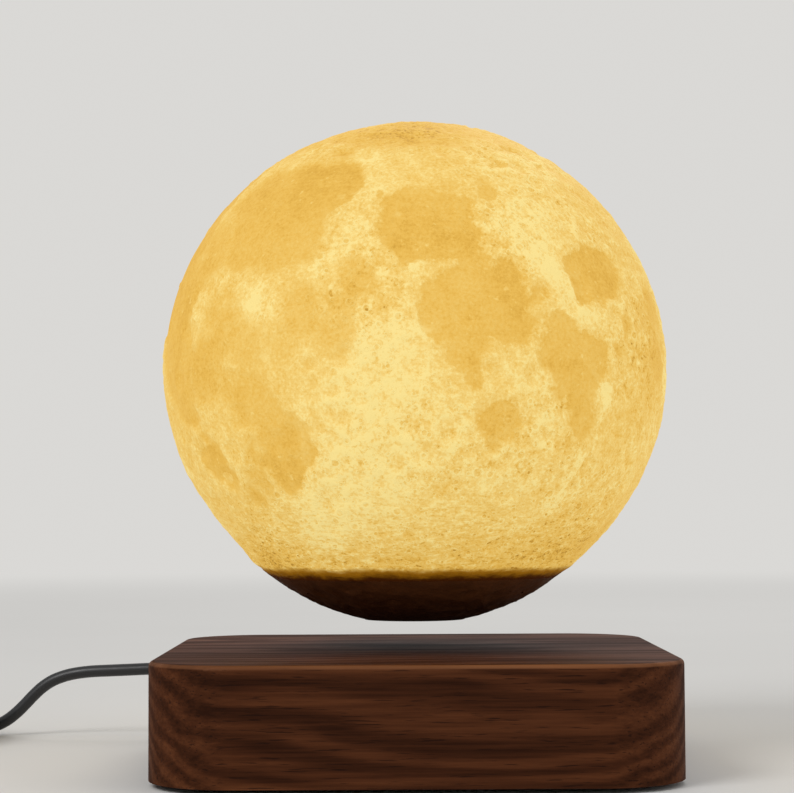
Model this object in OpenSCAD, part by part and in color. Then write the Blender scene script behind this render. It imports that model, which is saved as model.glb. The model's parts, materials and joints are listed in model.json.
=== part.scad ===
// Levitating moon lamp: a printed moon that floats above a wooden base.
// The table is z = 0, the side that faces the room is -Y, and the moon is over the origin.

/* [Base] */
// Width and depth of the wooden base
base_w = 147; // [122:1:180]
// Height of the wooden base, without what its feet add
base_h = 32.5; // [27:0.5:42]
// Radius of the base's upright corners
corner_r = 25; // [18:1:30]
// Radius on the base's top edge
top_edge_r = 1.5; // [0.5:0.25:3]
// Thickness of the base's side walls
wall = 6.5; // [5:0.5:8]
// Thickness of the wood over the electronics
top_t = 3.5; // [2:0.5:5]
// How far the feet hold the wood off the table
foot_stand = 1.5; // [1:0.5:4]
// Diameter of a rubber foot
foot_d = 12; // [8:1:16]
// Thickness of the plate that closes the base from below
plate_t = 2.5; // [2.5:0.5:4]

/* [Levitation drive] */
// Thickness of a circuit board
board_t = 1.6; // [1:0.2:2]
// Height of the bosses under the levitation board
boss_h = 4; // [3:0.5:6]
// Wall of the moulded frame that holds the ring magnet
frame_t = 1.5; // [1:0.25:2.5]
// Width of the ring magnet, from its bore to its outside
ring_w = 18; // [12:1:20]
// Diameter of a levitation coil's core
core_d = 7; // [4:0.5:7]
// Thickness of the transmitter coil
transmitter_t = 2.8; // [1.5:0.1:4]
// Width of the transmitter coil's band of turns
transmitter_w = 11; // [6:1:14]

/* [Moon] */
// Diameter of the moon
moon_d = 150; // [125:1:180]
// Wall of the printed globe
globe_t = 2; // [1.2:0.1:2.4]
// Height of the bottom cap, from the seam to the full sphere's lowest point
cap_h = 14; // [13.5:0.5:18]
// How much of the sphere is cut off flat at the bottom
cap_flat = 1.5; // [0.5:0.25:2]
// Gap between the floating moon and the base
float_gap = 8.5; // [6:0.5:20]
// Diameter of the magnet in the moon
magnet_d = 48; // [36:1:52]
// Thickness of the magnet in the moon
magnet_t = 5.5; // [3:0.5:6]
// Number of light-emitting diodes
led_count = 8; // [4:1:10]

/* [Power lead] */
// Diameter of the lead
lead_d = 4; // [3:0.25:5]
// Distance of the jack's axis from the start of the corner's curve
jack_inset = 6.5; // [6.2:0.1:20]
// Depth of the jack's axis below the base's top
jack_drop = 11.5; // [9:0.5:14]
// Diameter of the plug's metal barrel
barrel_d = 5.5; // [4:0.5:6]
// Length of the plug's metal barrel
barrel_l = 9.5; // [7:0.5:10]
// Diameter of the plug's moulded body
plug_d = 10; // [9:0.5:12]
// Length of the plug's tapered strain relief
relief_l = 22; // [15:1:30]

/* [Wall adapter] */
// Width of the adapter
adapter_w = 44; // [36:1:56]
// Height of the adapter as it lies
adapter_h = 28; // [23:1:34]
// Length of the adapter, without its pins
adapter_l = 56; // [46:1:70]
// Distance between the two mains pins
pin_gap = 19; // [17:0.5:20]
// Diameter of a mains pin
pin_d = 4; // [3.5:0.1:5]
// Length of a mains pin
pin_l = 19; // [15:1:22]

/* [Hidden] */
$fn = 144;

// Clearances, and how far a cutting shape runs past what it cuts
fit = 0.3;
hole_fit = 0.1;
past = 1;

// Base, from the table up
base_top = foot_stand + base_h;
ceiling_z = base_top - top_t;
plate_top = foot_stand + plate_t;
cavity_w = base_w - 2 * wall;
cavity_r = corner_r - wall;
back_y = base_w / 2;
foot_r = foot_d / 2;
foot_sink = 1;
foot_bevel = 0.6;
foot_inset = 15;
foot_at = cavity_w / 2 - foot_r - foot_inset;
post_r = 8;
post_inset = 10.5;
post_at = cavity_w / 2 - post_inset;
vent_count = 5;
vent_l = 26;
vent_w = 2.5;
vent_r = 1;
vent_pitch = 7;

// Screws of the base: shank, head and cross recess
shank_r = 1.45;
head_r = 2.8;
small_head_r = 2.4;
head_h = 1.7;
post_hole_l = 10;
plate_screw_l = 8;
screw_end_gap = 1;
recess_w = 0.7;
recess_reach = 0.6;
recess_floor = 0.4;

// Levitation drive, stacked on the bottom plate
board_z = plate_top + boss_h;
board_top = board_z + board_t;
board_margin = 7;
board_r = cavity_w / 2 - board_margin;
boss_r = 3;
spacer_h = 2;
frame_z = board_top + spacer_h;
frame_floor = frame_z + frame_t;
frame_margin = 8.5;
frame_r = board_r - frame_margin;
ear_count = 4;
ear_r = 4;
ear_reach = 3;
ear_at = frame_r + ear_reach;
ear_angle = 45;
plate_gap = 0.3;
coil_plate_t = 1.2;
top_gap = 0.9;
transmitter_inset = 1;
transmitter_z = ceiling_z - top_gap - transmitter_t;
coil_plate_z = transmitter_z - coil_plate_t;
ring_h = coil_plate_z - plate_gap - frame_floor;
ring_out = frame_r - frame_t - fit;
ring_in = ring_out - ring_w;
hub_out = ring_in - fit;
hub_in = hub_out - frame_t;

// Levitation coils: four round bobbins side by side in the hub
coil_count = 4;
bobbin_gap = 1.7;
bobbin_r = hub_in / (1 + sqrt(2)) - bobbin_gap;
coil_at = hub_in - fit - bobbin_r;
core_r = core_d / 2;
flange_t = 1;
winding_inset = 0.5;

// Sensors in the middle, chips and capacitors on the board
header_w = 4;
header_hole_r = 4;
sensor_board_r = 5;
sensor_depth = 3;
sensor_z = frame_floor + ring_h - sensor_depth;
sensor_size = [4, 1.6, 1.5];
chip_size = [10, 4, 1.5];
chip_spots = [[-34, 10], [-34, -8], [24, -12], [24, 6]];
capacitor_r = 3.7;
capacitor_h = 11;
capacitor_angles = [186, 198, 210];

// Touch switch under the wood, near the front
pad_r = 5.5;
pad_t = 0.4;
pad_reach = 6.5;
pad_at = frame_r + pad_reach;
spring_r = 2.4;
spring_wall = 0.7;

// Jack and plug, on the back wall
jack_x = -(base_w / 2 - corner_r - jack_inset);
jack_z = base_top - jack_drop;
jack_r = 4;
jack_l = 14;
jack_end = 1;
flange_r = 5.4;
flange_h = 1.5;
nut_r = 5.8;
nut_h = 2;
nut_sides = 6;
jack_bore_r = barrel_d / 2 + fit;
contact_r = 1;
barrel_bore_r = contact_r + fit;
plug_r = plug_d / 2;
plug_gap = 1;
plug_l = 12;
collar_r = 4.4;
lead_r = lead_d / 2;
lead_y = back_y + plug_r + plug_gap;
relief_x = jack_x - plug_l;
relief_inset = 0.9;
relief_wall = 0.5;
groove_pitch = 3;
groove_w = 0.9;
groove_depth = 0.5;
wire_r = 0.7;
wire_gap = 0.3;
wire_spread = 1.6;
wire_sides = 6;
wire_angle = 125;
wire_reach = 5;
// Steps of a wire from the jack's tail, and to its place on the board
wire_out = [[0, -wire_gap, 0], [0.2, -2, -0.3], [2.5, -5, -3]];
wire_in = [[-1, 2, 4], [0, 0, wire_gap]];

// Moon, from its centre
moon_r = moon_d / 2;
inner_r = moon_r - globe_t;
moon_z = base_top + float_gap - cap_flat + moon_r;
seam_z = -moon_r + cap_h;
seam_in = sqrt(inner_r * inner_r - seam_z * seam_z);
lip_t = 1.5;
lip_h = 2.5;
lip_out = seam_in - fit;
lip_in = lip_out - lip_t;
ledge_w = 1.8;
ledge_h = 3;
tray_t = 1.5;
tray_r = lip_in - fit;
tray_z = seam_z - fit;
magnet_r = magnet_d / 2;
magnet_z = -sqrt(inner_r * inner_r - magnet_r * magnet_r) + fit + hole_fit;
cup_t = 1.8;
cup_in = magnet_r + fit;
cup_grip = 0.5;
seat_edge = 2;
seat_w = 4;
tray_boss_r = 2.8;
tray_boss_gap = 0.5;
tray_boss_at = lip_in - tray_boss_r - tray_boss_gap;
tray_boss_angle = 90;
tray_screw_count = 3;
tray_hole_l = 4;
tray_shank_r = 0.9;
tray_head_r = 1.9;
tray_head_h = 1.2;
sheet_t = 0.5;
sheet_z = tray_z - sheet_t;
receiver_t = 1.8;
receiver_z = sheet_z - receiver_t;
receiver_in = cup_in + cup_t + fit;
receiver_out = tray_boss_at - tray_boss_r - fit;
feed_angle = 10;
feed_at = (receiver_in + receiver_out) / 2;
light_z = tray_z + tray_t;
light_margin = 1;
light_r = tray_boss_at - tray_head_r - light_margin;
led_w = 5;
led_h = 0.7;
lens_r = 2;
lens_h = 0.7;
led_at = 14;
part_inset = 5;
part_at = light_r - part_inset;
part_angles = [40, 160, 280];
rectifier_size = [4, 6, 2];
regulator_size = [4, 5, 1.6];
smoothing_r = 2.5;
smoothing_h = 5;

// Route of the lead from the plug's relief to the coil
lead_route = [
    [-76, 79.5, 22.5], [-82, 79.5, 22.5], [-88, 79.6, 22.4], [-95, 80, 22.1],
    [-102, 80.5, 21.8], [-108, 81, 21.5], [-113, 81.5, 20.9], [-117, 82, 20],
    [-121, 82.3, 18.5], [-124.5, 82.6, 16.3], [-127.5, 82.8, 13.6],
    [-130.5, 83, 10.5], [-133.5, 83.2, 7.6], [-137, 83.5, 5], [-141, 83.7, 3.2],
    [-146, 83.9, 2.4], [-152, 84, 2.4], [-158, 84, 2.8], [-162, 84, 3.2],
    [-166, 84, 3.2]
];
// From the coil to the adapter: right, forward, and the share of the way down
adapter_steps = [
    [0, 0, 0], [0, -4, 0], [0.2, -7.8, 0.08], [1, -11.6, 0.32], [2, -15.4, 0.68],
    [2.8, -19.2, 0.92], [3, -23, 1], [3, -26, 1]
];
lead_sides = 10;

// Coil of the stored length: it begins where the route ends, and lies in layers
// that are wound inwards and outwards by turns
coil_layers = 4;
coil_turns = 1.9375;
climb_turns = 0.5;
coil_steps = 24;
coil_sides = 6;
coil_in_r = 17.5;
turn_gap = 1.42;
layer_gap = 0.8;
coil_start_angle = 90;
radial_step = lead_d + turn_gap;
layer_step = lead_d + layer_gap;
coil_out_r = coil_in_r + coil_turns * radial_step;
route_end = lead_route[len(lead_route) - 1];
coil_x = route_end.x - lead_d;
coil_y = route_end.y - coil_out_r;
coil_z = route_end.z;
layer_turns = coil_turns + climb_turns;
coil_rings = (coil_layers * layer_turns - climb_turns) * coil_steps;

// Strap round the coil
tie_t = 0.8;
tie_w = 8;
tie_angle = 315;
tie_z = coil_z - lead_r - fit - tie_t;

// Adapter, lying beside the coil with its pins towards the front
adapter_wall = 2;
adapter_corner = 5;
face_l = 9;
face_lip = 2;
pin_root = 6;
root_step = 0.5;
pin_root_r = pin_d / 2 + root_step;
adapter_relief_l = 14;
relief_swell = 1.5;
axis_z = adapter_h / 2;
board_lift = 2;
transformer_size = [16, 14, 14];
transformer_back = 28;
tank_r = 4;
tank_h = 13;
tank_spot = [4, -9];

// ---------------------------------------------------------------- helpers

// A square with round corners, about the origin
module round_square(w, d, r) {
    square([w - 2 * r, d], center = true);
    square([w, d - 2 * r], center = true);
    for (x = [-1, 1], y = [-1, 1])
        translate([x * (w / 2 - r), y * (d / 2 - r)]) circle(r);
}

// A flat ring that stands on z = 0
module ring(out_r, in_r, h) {
    difference() {
        cylinder(h = h, r = out_r);
        translate([0, 0, -past]) cylinder(h = h + 2 * past, r = in_r);
    }
}

// A cross-head screw that points down, its head's underside at z = 0
module screw(shank, head, head_height, length) {
    difference() {
        union() {
            cylinder(h = head_height, r = head);
            translate([0, 0, -length]) cylinder(h = length, r = shank);
        }
        for (a = [0, 90])
            rotate(a) translate([-head * recess_reach, -recess_w / 2, head_height * recess_floor])
                cube([2 * head * recess_reach, recess_w, head_height]);
    }
}

// Copies at the four corners of a square
module at_corners(half) {
    for (x = [-1, 1], y = [-1, 1]) translate([x * half, y * half, 0]) children();
}

// Copies spread evenly round a circle
module around(count, radius, first = 0) {
    for (i = [0 : count - 1])
        rotate(first + i * 360 / count) translate([radius, 0, 0]) children();
}

// ------------------------------------------------------------ swept tubes

function unit(v) = v / norm(v);

// Direction of a route at its point i
function heading(route, i) =
    let (last = len(route) - 1)
    i == 0 ? unit(route[1] - route[0])
    : i == last ? unit(route[last] - route[last - 1])
    : unit(unit(route[i + 1] - route[i]) + unit(route[i] - route[i - 1]));

// Points of one ring of the tube, square to the route
function tube_ring(route, i, r, sides) =
    let (
        along = heading(route, i),
        side = unit(cross(along, [0, 0, 1])),
        up = cross(side, along)
    )
    [for (k = [0 : sides - 1])
        route[i] + r * (cos(k * 360 / sides) * side + sin(k * 360 / sides) * up)];

function tube_points(route, r, sides) =
    [for (i = [0 : len(route) - 1]) each tube_ring(route, i, r, sides)];

function tube_walls(rings, sides) =
    [for (i = [0 : rings - 2], k = [0 : sides - 1])
        let (a = i * sides + k, b = i * sides + (k + 1) % sides)
        each [[a, b, a + sides], [b, b + sides, a + sides]]];

function tube_ends(rings, sides) =
    let (last = (rings - 1) * sides)
    [for (k = [1 : sides - 2]) each [[0, k + 1, k], [last, last + k, last + k + 1]]];

module tube(route, r, sides) {
    rings = len(route);
    polyhedron(
        points = tube_points(route, r, sides),
        faces = concat(tube_walls(rings, sides), tube_ends(rings, sides))
    );
}

// ------------------------------------------------------- line of the lead

// Which layer of the coil a turn is in, and how far through that layer it is
function coil_layer(turn) = min(coil_layers - 1, floor(turn / layer_turns));
function coil_part(turn) = turn - coil_layer(turn) * layer_turns;
function coil_radius(turn) =
    let (run = min(coil_part(turn), coil_turns) * radial_step)
    coil_layer(turn) % 2 == 0 ? coil_out_r - run : coil_in_r + run;
function coil_height(turn) =
    let (climb = max(0, coil_part(turn) - coil_turns) / climb_turns)
    coil_z + layer_step * (coil_layer(turn) + climb);
function coil_point(turn) =
    let (angle = coil_start_angle + 360 * turn, r = coil_radius(turn))
    [coil_x + r * cos(angle), coil_y + r * sin(angle), coil_height(turn)];

coil_loops = [for (i = [0 : coil_rings]) coil_point(i / coil_steps)];
coil_end = coil_loops[coil_rings] - [0, lead_d, 0];
coil_route = concat([route_end], coil_loops, [coil_end]);
adapter_route = [
    for (step = adapter_steps)
        [coil_end.x + step.x, coil_end.y + step.y, coil_end.z + (axis_z - coil_end.z) * step.z]
];
adapter_x = adapter_route[len(adapter_route) - 1].x;
adapter_back = adapter_route[len(adapter_route) - 1].y - adapter_relief_l;
adapter_front = adapter_back - adapter_l;
split_y = adapter_front + face_l;

// Least gap between turns, on points at least half a turn apart
coil_gap = min([
    for (i = [0 : coil_rings - coil_steps / 2])
        for (j = [i + coil_steps / 2 : coil_rings])
            norm(coil_loops[i] - coil_loops[j])
]) - lead_d;

function route_length(route) =
    let (runs = [for (i = [1 : len(route) - 1]) norm(route[i] - route[i - 1])])
    runs * [for (r = runs) 1];

echo(str("least gap of the coil to itself, mm: ", coil_gap));
echo(str("length of the lead, mm: ",
    route_length(lead_route) + route_length(coil_route) + route_length(adapter_route)));

// -------------------------------------------------------------- the base

// Half section of the block's edge, from the corner's axis to its face
module edge_section(r, h, e) {
    square([r - e, h]);
    square([r, h - e]);
    translate([r - e, h - e]) circle(e);
}

// A block with upright round corners and a softened top edge
module soft_block(w, r, h, e) {
    run = w - 2 * r;
    translate([-run / 2, -run / 2, 0]) cube([run, run, h]);
    for (i = [0 : 3]) rotate(90 * i) {
        translate([run / 2, 0, 0])
            rotate([90, 0, 0]) linear_extrude(run, center = true) edge_section(r, h, e);
        translate([run / 2, run / 2, 0]) rotate_extrude(angle = 90) edge_section(r, h, e);
    }
}

module base_shell() {
    color("saddlebrown") difference() {
        union() {
            difference() {
                translate([0, 0, foot_stand]) soft_block(base_w, corner_r, base_h, top_edge_r);
                translate([0, 0, foot_stand - past])
                    linear_extrude(ceiling_z - foot_stand + past)
                        round_square(cavity_w, cavity_w, cavity_r);
            }
            translate([0, 0, plate_top])
                at_corners(post_at) cylinder(h = ceiling_z - plate_top + top_t / 2, r = post_r);
        }
        translate([0, 0, plate_top - past])
            at_corners(post_at) cylinder(h = post_hole_l + past, r = shank_r + hole_fit);
        translate([jack_x, back_y + past, jack_z]) rotate([90, 0, 0]) {
            cylinder(h = wall + 2 * past, r = jack_r + hole_fit);
            cylinder(h = flange_h + past, r = flange_r + hole_fit);
        }
    }
}

// Copies at the ears where the frame, the board and the plate are screwed together
module at_ears() {
    around(ear_count, ear_at, ear_angle) children();
}

module bottom_plate() {
    plate_w = cavity_w - 2 * fit;
    color("#202020") difference() {
        union() {
            translate([0, 0, foot_stand])
                linear_extrude(plate_t) round_square(plate_w, plate_w, cavity_r - fit);
            translate([0, 0, plate_top]) at_ears() cylinder(h = boss_h, r = boss_r);
        }
        translate([0, 0, foot_stand - past]) {
            at_corners(post_at) {
                cylinder(h = head_h + hole_fit + past, r = head_r + fit);
                cylinder(h = plate_t + 2 * past, r = shank_r + hole_fit);
            }
            at_corners(foot_at) cylinder(h = foot_sink + past, r = foot_r + hole_fit);
            for (i = [0 : vent_count - 1])
                translate([(i - (vent_count - 1) / 2) * vent_pitch, 0, 0])
                    linear_extrude(plate_t + 2 * past) round_square(vent_w, vent_l, vent_r);
        }
        translate([0, 0, plate_top])
            at_ears() cylinder(h = boss_h + past, r = shank_r + hole_fit);
    }
}

module rubber_feet() {
    color("#2b2b2b") at_corners(foot_at) {
        cylinder(h = foot_bevel, r1 = foot_r - foot_bevel, r2 = foot_r);
        translate([0, 0, foot_bevel])
            cylinder(h = foot_stand + foot_sink - foot_bevel, r = foot_r);
    }
}

module plate_screws() {
    color("silver") at_corners(post_at)
        translate([0, 0, foot_stand + head_h + hole_fit])
            rotate([180, 0, 0]) screw(shank_r, head_r, head_h, plate_screw_l);
}

// ----------------------------------------------------- levitation drive

module levitation_board() {
    color("darkgreen") difference() {
        translate([0, 0, board_z]) cylinder(h = board_t, r = board_r);
        translate([0, 0, board_z - past])
            at_ears() cylinder(h = board_t + 2 * past, r = shank_r + hole_fit);
    }
}

module magnet_frame() {
    rim_h = coil_plate_z - frame_floor;
    color("dimgray") difference() {
        union() {
            translate([0, 0, frame_z]) cylinder(h = frame_t, r = frame_r);
            translate([0, 0, frame_z]) at_ears() cylinder(h = frame_t, r = ear_r);
            translate([0, 0, board_top])
                at_ears() cylinder(h = spacer_h + frame_t / 2, r = boss_r);
            translate([0, 0, frame_floor]) ring(frame_r, frame_r - frame_t, rim_h);
            translate([0, 0, frame_floor]) ring(hub_out, hub_in, rim_h);
        }
        translate([0, 0, board_top - past]) at_ears()
            cylinder(h = spacer_h + frame_t + 2 * past, r = shank_r + hole_fit);
        translate([0, 0, frame_z - past]) cylinder(h = frame_t + 2 * past, r = header_hole_r);
    }
}

module frame_screws() {
    color("silver") translate([0, 0, frame_floor]) at_ears()
        screw(shank_r, small_head_r, head_h, frame_floor - plate_top - screw_end_gap);
}

module ring_magnet() {
    color("gray") translate([0, 0, frame_floor]) ring(ring_out, ring_in, ring_h);
}

module coil_cores() {
    color("darkgray") translate([0, 0, frame_floor])
        around(coil_count, coil_at) cylinder(h = ring_h, r = core_r);
}

module coil_bobbins() {
    bore = core_r + hole_fit;
    color("ivory") translate([0, 0, frame_floor]) around(coil_count, coil_at) {
        ring(bobbin_r, bore, flange_t);
        ring(bore + flange_t, bore, ring_h);
        translate([0, 0, ring_h - flange_t]) ring(bobbin_r, bore, flange_t);
    }
}

module coil_windings() {
    color("chocolate") translate([0, 0, frame_floor + flange_t]) around(coil_count, coil_at)
        ring(bobbin_r - winding_inset, core_r + hole_fit + flange_t, ring_h - 2 * flange_t);
}

module sensor_header() {
    color("black") translate([-header_w / 2, -header_w / 2, board_top])
        cube([header_w, header_w, sensor_z - board_top]);
}

module sensor_board() {
    color("darkgreen") translate([0, 0, sensor_z]) cylinder(h = board_t / 2, r = sensor_board_r);
}

module hall_sensors() {
    color("black") translate([0, 0, sensor_z + board_t / 2]) for (a = [0, 120, 240])
        rotate(a) translate([-sensor_size.x / 2, sensor_size.y, 0]) cube(sensor_size);
}

module driver_chips() {
    color("black") for (spot = chip_spots)
        translate([spot.x, spot.y, board_top]) cube(chip_size);
}

module capacitors() {
    color("navy") for (a = capacitor_angles)
        rotate(a) translate([frame_r + fit + capacitor_r, 0, board_top])
            cylinder(h = capacitor_h, r = capacitor_r);
}

module coil_plate() {
    color("black") translate([0, 0, coil_plate_z]) ring(frame_r, hub_in, coil_plate_t);
}

module transmitter_coil() {
    outside = ring_out - transmitter_inset;
    color("chocolate") translate([0, 0, transmitter_z])
        ring(outside, outside - transmitter_w, transmitter_t);
}

module touch_pad() {
    color("peru") translate([0, -pad_at, ceiling_z - pad_t]) cylinder(h = pad_t, r = pad_r);
}

module touch_spring() {
    color("silver") translate([0, -frame_r - fit - spring_r, board_top])
        ring(spring_r, spring_r - spring_wall, ceiling_z - pad_t - board_top);
}

// ---------------------------------------------------------- power jack

// Turns a shape that stands on z = 0 to point forwards from the jack's face
module from_jack_face() {
    translate([jack_x, back_y, jack_z]) rotate([90, 0, 0]) children();
}

module power_jack() {
    color("#1a1a1a") from_jack_face() difference() {
        union() {
            cylinder(h = flange_h, r = flange_r);
            cylinder(h = jack_l, r = jack_r);
        }
        translate([0, 0, -past]) cylinder(h = barrel_l + jack_end + past, r = jack_bore_r);
    }
}

module jack_nut() {
    color("silver") from_jack_face() translate([0, 0, wall]) difference() {
        cylinder(h = nut_h, r = nut_r, $fn = nut_sides);
        translate([0, 0, -past]) cylinder(h = nut_h + 2 * past, r = jack_r + hole_fit);
    }
}

module jack_pin() {
    color("gold") from_jack_face() translate([0, 0, jack_end])
        cylinder(h = barrel_l, r = contact_r);
}

module jack_leads() {
    reach = frame_r + wire_reach;
    tail = [jack_x, back_y - jack_l, jack_z];
    spot = [reach * cos(wire_angle), reach * sin(wire_angle), board_top];
    color("darkred") for (side = [-wire_spread, wire_spread])
        translate([side, 0, 0])
            tube(concat([for (step = wire_out) tail + step], [for (step = wire_in) spot + step]),
                wire_r, wire_sides);
}

// --------------------------------------------------------------- moon

module globe_shell() {
    color("khaki") translate([0, 0, moon_z]) difference() {
        intersection() {
            sphere(moon_r);
            translate([-moon_d, -moon_d, seam_z]) cube([2 * moon_d, 2 * moon_d, moon_d]);
        }
        sphere(inner_r);
    }
}

// Half section of the cap, from the moon's axis outwards
module cap_section() {
    low = -moon_r + cap_flat;
    half_wall = globe_t / 2;
    root = low + half_wall;
    difference() {
        intersection() {
            circle(moon_r);
            translate([0, low]) square([moon_r, cap_h - cap_flat]);
        }
        intersection() {
            circle(inner_r);
            translate([0, low + globe_t]) square([moon_r, cap_h]);
        }
    }
    intersection() {
        circle(inner_r + half_wall);
        translate([0, root]) {
            translate([cup_in, 0]) square([cup_t, magnet_z + cup_grip * magnet_t - root]);
            translate([magnet_r - seat_edge - seat_w, 0]) square([seat_w, magnet_z - fit - root]);
        }
    }
    intersection() {
        circle(inner_r + half_wall);
        translate([0, seam_z - ledge_h]) {
            translate([lip_in - ledge_w, 0]) square([ledge_w + lip_t, ledge_h + tray_z - seam_z]);
            translate([lip_in, 0]) square([lip_t, ledge_h + lip_h]);
        }
    }
}

// Copies at the screws that hold the tray in the cap
module at_tray_screws() {
    around(tray_screw_count, tray_boss_at, tray_boss_angle) children();
}

module bottom_cap() {
    color("sienna") translate([0, 0, moon_z]) difference() {
        union() {
            rotate_extrude() cap_section();
            intersection() {
                translate([0, 0, -moon_r])
                    at_tray_screws() cylinder(h = tray_z + moon_r, r = tray_boss_r);
                sphere(inner_r + globe_t / 2);
            }
        }
        translate([0, 0, tray_z - tray_hole_l]) at_tray_screws()
            cylinder(h = tray_hole_l + past, r = tray_shank_r + hole_fit);
    }
}

module float_magnet() {
    color("gainsboro") translate([0, 0, moon_z + magnet_z]) cylinder(h = magnet_t, r = magnet_r);
}

module receiver_coil() {
    color("chocolate") translate([0, 0, moon_z + receiver_z])
        ring(receiver_out, receiver_in, receiver_t);
}

// Copies at the two places where the receiver coil's ends come up
module at_feeds() {
    for (a = [-feed_angle, feed_angle]) rotate(a) translate([feed_at, 0, 0]) children();
}

module ferrite_sheet() {
    color("dimgray") translate([0, 0, moon_z + sheet_z]) difference() {
        cylinder(h = sheet_t, r = receiver_out);
        at_feeds() translate([0, 0, -past]) cylinder(h = sheet_t + 2 * past, r = wire_r + fit);
    }
}

module led_tray() {
    color("white") translate([0, 0, moon_z + tray_z]) difference() {
        cylinder(h = tray_t, r = tray_r);
        translate([0, 0, -past]) {
            at_tray_screws() cylinder(h = tray_t + 2 * past, r = tray_shank_r + hole_fit);
            at_feeds() cylinder(h = tray_t + 2 * past, r = wire_r + fit);
        }
    }
}

module tray_screws() {
    length = tray_t + tray_hole_l - screw_end_gap;
    color("silver") translate([0, 0, moon_z + light_z]) at_tray_screws()
        screw(tray_shank_r, tray_head_r, tray_head_h, length);
}

module light_board() {
    color("white") translate([0, 0, moon_z + light_z]) cylinder(h = board_t, r = light_r);
}

module leds() {
    color("lightyellow") translate([0, 0, moon_z + light_z + board_t])
        around(led_count, led_at) {
            translate([-led_w / 2, -led_w / 2, 0]) cube([led_w, led_w, led_h]);
            translate([0, 0, led_h]) cylinder(h = lens_h, r = lens_r);
        }
}

// Rectifier, regulator and smoothing capacitor, beside the light sources
module receiver_parts() {
    color("black") translate([0, 0, moon_z + light_z + board_t]) {
        rotate(part_angles[0]) translate([part_at, -rectifier_size.y / 2, 0])
            cube(rectifier_size);
        rotate(part_angles[1]) translate([part_at, -regulator_size.y / 2, 0])
            cube(regulator_size);
        rotate(part_angles[2]) translate([part_at + smoothing_r / 2, 0, 0])
            cylinder(h = smoothing_h, r = smoothing_r);
    }
}

module receiver_leads() {
    color("chocolate") translate([0, 0, moon_z + sheet_z]) at_feeds()
        cylinder(h = sheet_t + tray_t, r = wire_r);
}

// -------------------------------------------------------- plug and lead

module plug_barrel() {
    color("silver") from_jack_face() translate([0, 0, -plug_gap]) difference() {
        cylinder(h = barrel_l + plug_gap, r = barrel_d / 2);
        translate([0, 0, plug_gap]) cylinder(h = barrel_l + past, r = barrel_bore_r);
    }
}

module plug_body() {
    color("#111111") difference() {
        union() {
            from_jack_face() translate([0, 0, back_y - lead_y])
                cylinder(h = lead_y - back_y, r = collar_r);
            translate([relief_x, lead_y, jack_z])
                rotate([0, 90, 0]) cylinder(h = plug_l, r = plug_r);
            translate([jack_x, lead_y, jack_z]) sphere(plug_r);
        }
        from_jack_face() translate([0, 0, -plug_gap])
            cylinder(h = plug_gap + past, r = barrel_d / 2);
    }
}

// A tapered sleeve along +Z, with grooves that let it bend
module strain_relief(big_r, small_r, length) {
    difference() {
        cylinder(h = length, r1 = big_r, r2 = small_r);
        for (z = [groove_pitch : groove_pitch : length - groove_pitch / 2])
            translate([0, 0, z])
                ring(big_r + past, big_r + (small_r - big_r) * z / length - groove_depth, groove_w);
    }
}

module plug_relief() {
    color("#151515") translate([relief_x, lead_y, jack_z]) rotate([0, -90, 0])
        strain_relief(plug_r - relief_inset, lead_r + relief_wall, relief_l);
}

module power_lead() {
    color("#0d0d0d") tube(lead_route, lead_r, lead_sides);
}

module lead_coil() {
    color("#0d0d0d") tube(coil_route, lead_r, coil_sides);
}

module coil_tie() {
    reach = coil_in_r - lead_r;
    near = sqrt(reach * reach - tie_w * tie_w / 4) - fit;
    far = coil_out_r + lead_r + fit;
    inner_h = (coil_layers - 1) * layer_step + lead_d + 2 * fit;
    color("dimgray") translate([coil_x, coil_y, tie_z]) rotate(tie_angle) difference() {
        translate([near - tie_t, -tie_w / 2, 0])
            cube([far - near + 2 * tie_t, tie_w, inner_h + 2 * tie_t]);
        translate([near, -tie_w / 2 - past, tie_t])
            cube([far - near, tie_w + 2 * past, inner_h]);
    }
}

module adapter_lead() {
    color("#0d0d0d") tube(adapter_route, lead_r, lead_sides);
}

// ------------------------------------------------------------- adapter

// Turns a section in X and Z into a bar that runs from y = from to y = to
module adapter_bar(from, to) {
    translate([adapter_x, to, axis_z]) rotate([90, 0, 0]) linear_extrude(to - from) children();
}

module adapter_section(inset) {
    round_square(adapter_w - 2 * inset, adapter_h - 2 * inset, adapter_corner - inset);
}

module adapter_relief() {
    color("#151515") translate([adapter_x, adapter_back, axis_z]) rotate([-90, 0, 0])
        strain_relief(lead_r + relief_wall + relief_swell, lead_r + relief_wall, adapter_relief_l);
}

module adapter_case() {
    color("#161616") difference() {
        adapter_bar(split_y, adapter_back) adapter_section(0);
        adapter_bar(split_y - past, adapter_back - adapter_wall) adapter_section(adapter_wall);
    }
}

// Copies at the two pins, turned to point forwards from the inside of the face
module at_pins() {
    for (side = [-1, 1])
        translate([adapter_x + side * pin_gap / 2, adapter_front + pin_root, axis_z])
            rotate([90, 0, 0]) children();
}

module adapter_face() {
    lip_y = split_y + face_lip;
    color("#1b1b1b") difference() {
        union() {
            adapter_bar(adapter_front, split_y) adapter_section(0);
            adapter_bar(split_y, lip_y) adapter_section(adapter_wall + fit);
        }
        adapter_bar(adapter_front + 2 * adapter_wall, lip_y + past)
            adapter_section(2 * adapter_wall);
        at_pins() cylinder(h = pin_root + past, r = pin_root_r);
    }
}

module adapter_pins() {
    straight_l = pin_root + pin_l - pin_d / 2;
    color("silver") at_pins() {
        cylinder(h = pin_root, r = pin_root_r);
        cylinder(h = straight_l, r = pin_d / 2);
        translate([0, 0, straight_l]) sphere(pin_d / 2);
    }
}

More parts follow.
